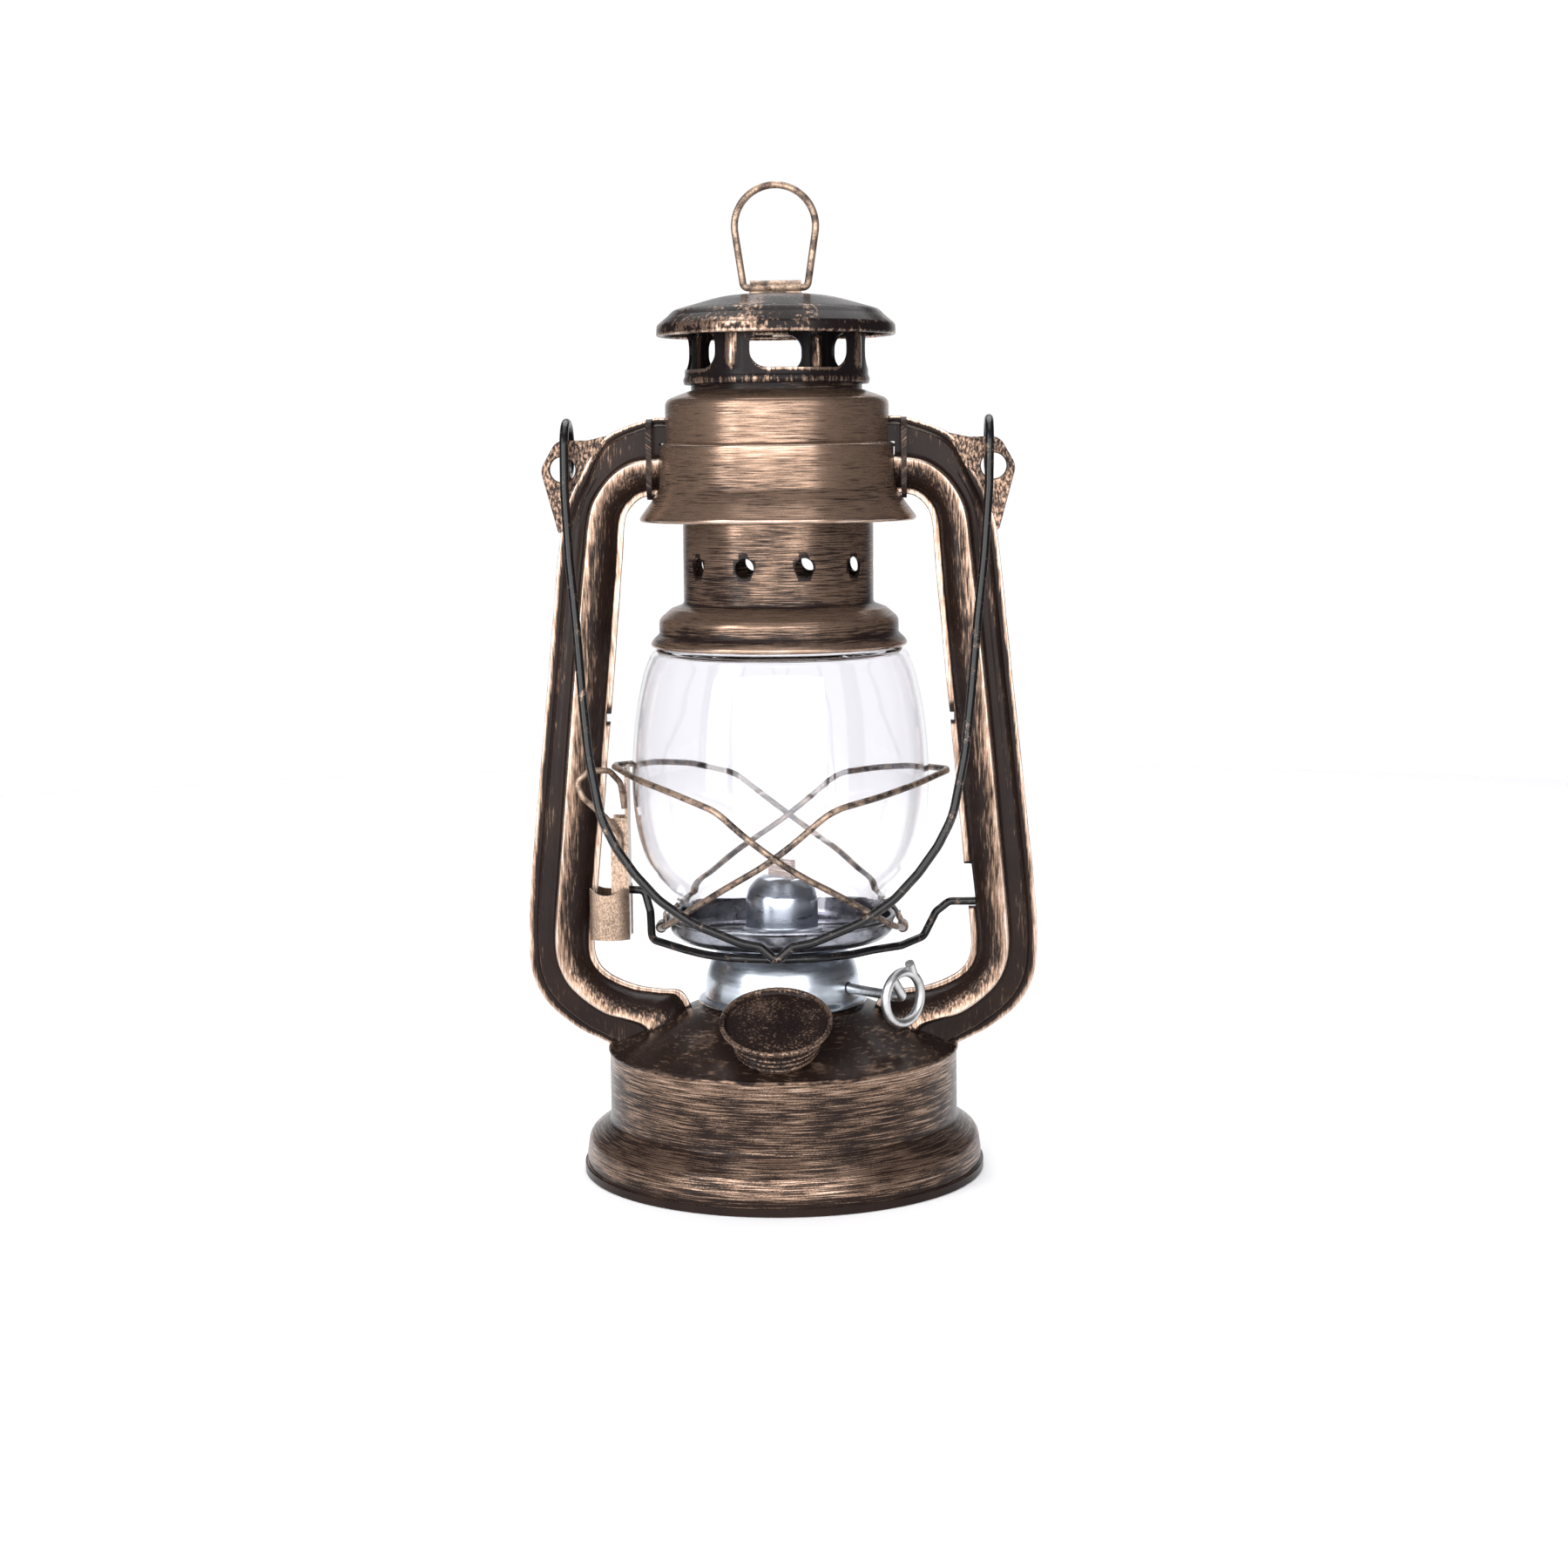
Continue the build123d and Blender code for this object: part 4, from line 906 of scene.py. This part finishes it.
def tube_profile(width, crest, flange, crest_h, panel_h):
    """Outer face of one half across the tube: (across, height, copper level: rubbed edges plus painted light)
    from inner to outer edge.

    Flange, crest near the inner edge, lower outer panel, flange: the pressed shape of the sheet.
    """
    t = SHEET
    rise, lift = crest - INNER_FLANGE, crest_h - t
    root = width - flange
    fold, brow, floor = INNER_FLANGE, crest_h, panel_h
    # Third number: high on the flanges and crest (rubbed edges and painted highlight), low in the valleys by
    # the fold, under the crest and at the panel's root (painted shade).
    keys = [
        (0.0, t * 0.35, 0.9), (0.06, t * 0.85, 0.95), (0.5, t, 0.88), (fold - 0.35, t, 0.72),
        (fold + 0.25, t + 0.55, 0.12), (fold + 0.16 * rise, t + 0.44 * lift, 0.28),
        (fold + 0.32 * rise, t + 0.68 * lift, 0.34), (fold + 0.5 * rise, t + 0.85 * lift, 0.46),
        (fold + 0.72 * rise, t + 0.96 * lift, 0.56), (crest - 0.6, brow - 0.03, 0.75),
        (crest, brow - 0.10, 0.98), (crest + 0.5, brow - 0.75, 0.75), (crest + 1.1, floor + 0.6, 0.14),
        (crest + 1.8, floor + 0.05, 0.05), (crest + 3.0, floor, 0.30), (root - 2.4, floor - 0.35, 0.34),
        (root - 1.2, floor - 0.6, 0.40), (root - 0.5, t + 1.2, 0.25), (root, t + 0.15, 0.08),
        (root + 0.4, t, 0.2), (width - 0.45, t, 0.85), (width - 0.06, t * 0.85, 0.95),
        (width, t * 0.35, 0.85),
    ]
    return smooth_run(keys, 3)


def tube_grid(side, facing):
    """Points and copper level (rubbed edges plus painted highlights and shade) of one tube half. side is -1
    for the left tube, facing -1 for the front half.
    """
    flat = [(*s[0], *s[1], *s[2:]) for s in TUBE_STATIONS]
    rows = smooth_run(flat, 7)
    verts, wear_and_painted_light = [], []
    for row in rows:
        inner, outer = Vector(row[0:2]), Vector(row[2:4])
        width = (outer - inner).length
        way = (outer - inner) / width
        for u, h, w in tube_profile(width, *row[4:]):
            spot = inner + way * u
            verts.append(Vector((side * spot.x, facing * h, spot.y)) * MM)
            wear_and_painted_light.append(w)
    across = len(verts) // len(rows)
    faces = []
    flip = side * facing > 0
    for i in range(len(rows) - 1):
        for k in range(across - 1):
            a = i * across + k
            quad = (a, a + 1, a + across + 1, a + across)
            faces.append(quad if flip else quad[::-1])
    return verts, faces, wear_and_painted_light


def under_dome():
    """Cutter that ends the tubes on the tank's top."""
    reach = TANK_R + 8
    return turned("cutter", [(0, 20), (reach, 20), (reach, dome_z(reach)), (DOME_TOP_R, DOME_TOP_Z),
                             (0, DOME_TOP_Z)], 160)


def inside_hood():
    """Cutter that ends the tubes on the hood's wall."""
    low, top = HOOD_LOW_R - 0.2, HOOD_TOP_R - 0.2
    return turned("cutter", [(0, 190), (low, 190), (low, HOOD_STEP_Z), (top, HOOD_STEP_Z), (top, 240),
                             (0, 240)], 160)


def make_tubes(m):
    """Both halves of each tube, notched at its inner edge for the guard wires and the lift wire."""
    for side, name in ((-1, "left"), (1, "right")):
        for facing, face in ((-1, "front"), (1, "back")):
            verts, faces, wear_and_painted_light = tube_grid(side, facing)
            piece = new_object(f"{name}_tube_{face}_half", verts, faces)
            # The listed values: rubbing plus painted highlights on the flanges and crest and painted shade in
            # the valleys.
            store_wear_and_painted_light(piece, wear_and_painted_light)
            wobble(piece, 0.14, 11)
            thicken(piece, SHEET * 0.9)
            x = side * GUARD_NOTCH_X
            notch = box_cutter((x - 0.8, -2, 135.4), (x + 0.8, 2, 137.8))
            knives = [under_dome(), inside_hood(), notch]
            if side > 0:
                knives.append(box_cutter((52, -1.5, 79.1), (62, 1.5, 92.1)))
            cut(piece, knives)
            dress(piece, m["tube"], "frame", [f"{name}_tube_{face}"], sharp=50)


def flat_plate(name, runs, side):
    """Upright plate with softened edges from closed runs of (x, z), mirrored by side."""
    curve = bpy.data.curves.new(name, "CURVE")
    curve.dimensions = "2D"
    curve.fill_mode = "BOTH"
    curve.extrude = 0.55 * MM
    curve.bevel_depth = 0.22 * MM
    curve.bevel_resolution = 2
    for run in runs:
        spline = curve.splines.new("POLY")
        spline.points.add(len(run) - 1)
        for point, (x, z) in zip(spline.points, run):
            point.co = (side * x * MM, z * MM, 0, 1)
        spline.use_cyclic_u = True
    drawn = bpy.data.objects.new(f"{name}_curve", curve)
    bpy.context.scene.collection.objects.link(drawn)
    graph = bpy.context.evaluated_depsgraph_get()
    mesh = bpy.data.meshes.new_from_object(drawn.evaluated_get(graph))
    bpy.data.objects.remove(drawn)
    mesh.transform(Matrix.Rotation(radians(90), 4, "X"))
    plate = bpy.data.objects.new(name, mesh)
    bpy.context.scene.collection.objects.link(plate)
    return plate


def make_ears(m):
    """Ear plates that carry the bail: flat sheet with a rolled rim round the hole."""
    outline = rounded([(50.5, 220.2), (56.4, 218.9), (65.4, 219.0), (70.2, 210.6), (65.2, 192.0),
                       (61.6, 193.0), (56.4, 209.4), (50.5, 218.4), (50.5, 220.2)],
                      [1.5, 4.2, 4.6, 0.6, 0.6, 0.6, 0.6], step=2.0)
    hole = [(EAR_X + EAR_HOLE_R * cos(2 * pi * k / 40), EAR_Z + EAR_HOLE_R * sin(2 * pi * k / 40))
            for k in range(40)]
    for side, name in ((-1, "left"), (1, "right")):
        plate = flat_plate(f"{name}_ear", (outline[:-1], hole), side)
        dress(plate, m["pale_edge"], "frame", sharp=35)
        rim = turned(f"{name}_ear_rim", roll((EAR_HOLE_R + 0.3, 0), 0.75, 0, 330, 12), 64, closed=True)
        centre = Matrix.Translation(Vector((side * EAR_X, 0, EAR_Z)) * MM)
        rim.data.transform(centre @ Matrix.Rotation(radians(90), 4, "X"))
        dress(rim, m["pale_edge"], "frame")


# ---------------------------------------------------------------- CAD nodes that stay
def finish_cad_nodes(m):
    """Materials for the CAD nodes whose own shape shows."""
    looks = {
        "tank_bottom": "dark", "burner_collar": "zinc", "draft_plate": "zinc", "wick_tube": "zinc",
        "wick_wheels": "steel", "wick_shaft": "steel", "wick_knob": "steel", "filler_gasket": "rubber",
        "left_tube_collar": "flue", "right_tube_collar": "flue", "inner_chimney": "flue",
        "globe_plate": "plate", "plate_tabs": "bronze_wire", "guard_wire_left": "bronze_wire",
        "guard_wire_right": "bronze_wire", "finger_loop": "ring_wire", "top_ring": "ring_wire",
        "ring_strap": "ring_wire", "lift_handle": "handle", "lift_wire": "black_wire", "bail": "black_wire",
    }
    for node, look in looks.items():
        piece = NODES[node]
        if not piece.material_slots:
            piece.data.materials.append(m[look])
        for slot in piece.material_slots:
            slot.link = "OBJECT"
            slot.material = m[look]


# ---------------------------------------------------------------- build
def main():
    make_camera()
    make_lights()
    make_world()
    make_floor()
    looks = make_materials()
    make_tank(looks)
    make_filler(looks)
    make_burner(looks)
    make_wick(looks)
    make_globe(looks)
    make_bell(looks)
    make_cap(looks)
    make_crown(looks)
    make_hood(looks)
    make_tubes(looks)
    make_ears(looks)
    finish_cad_nodes(looks)


main()
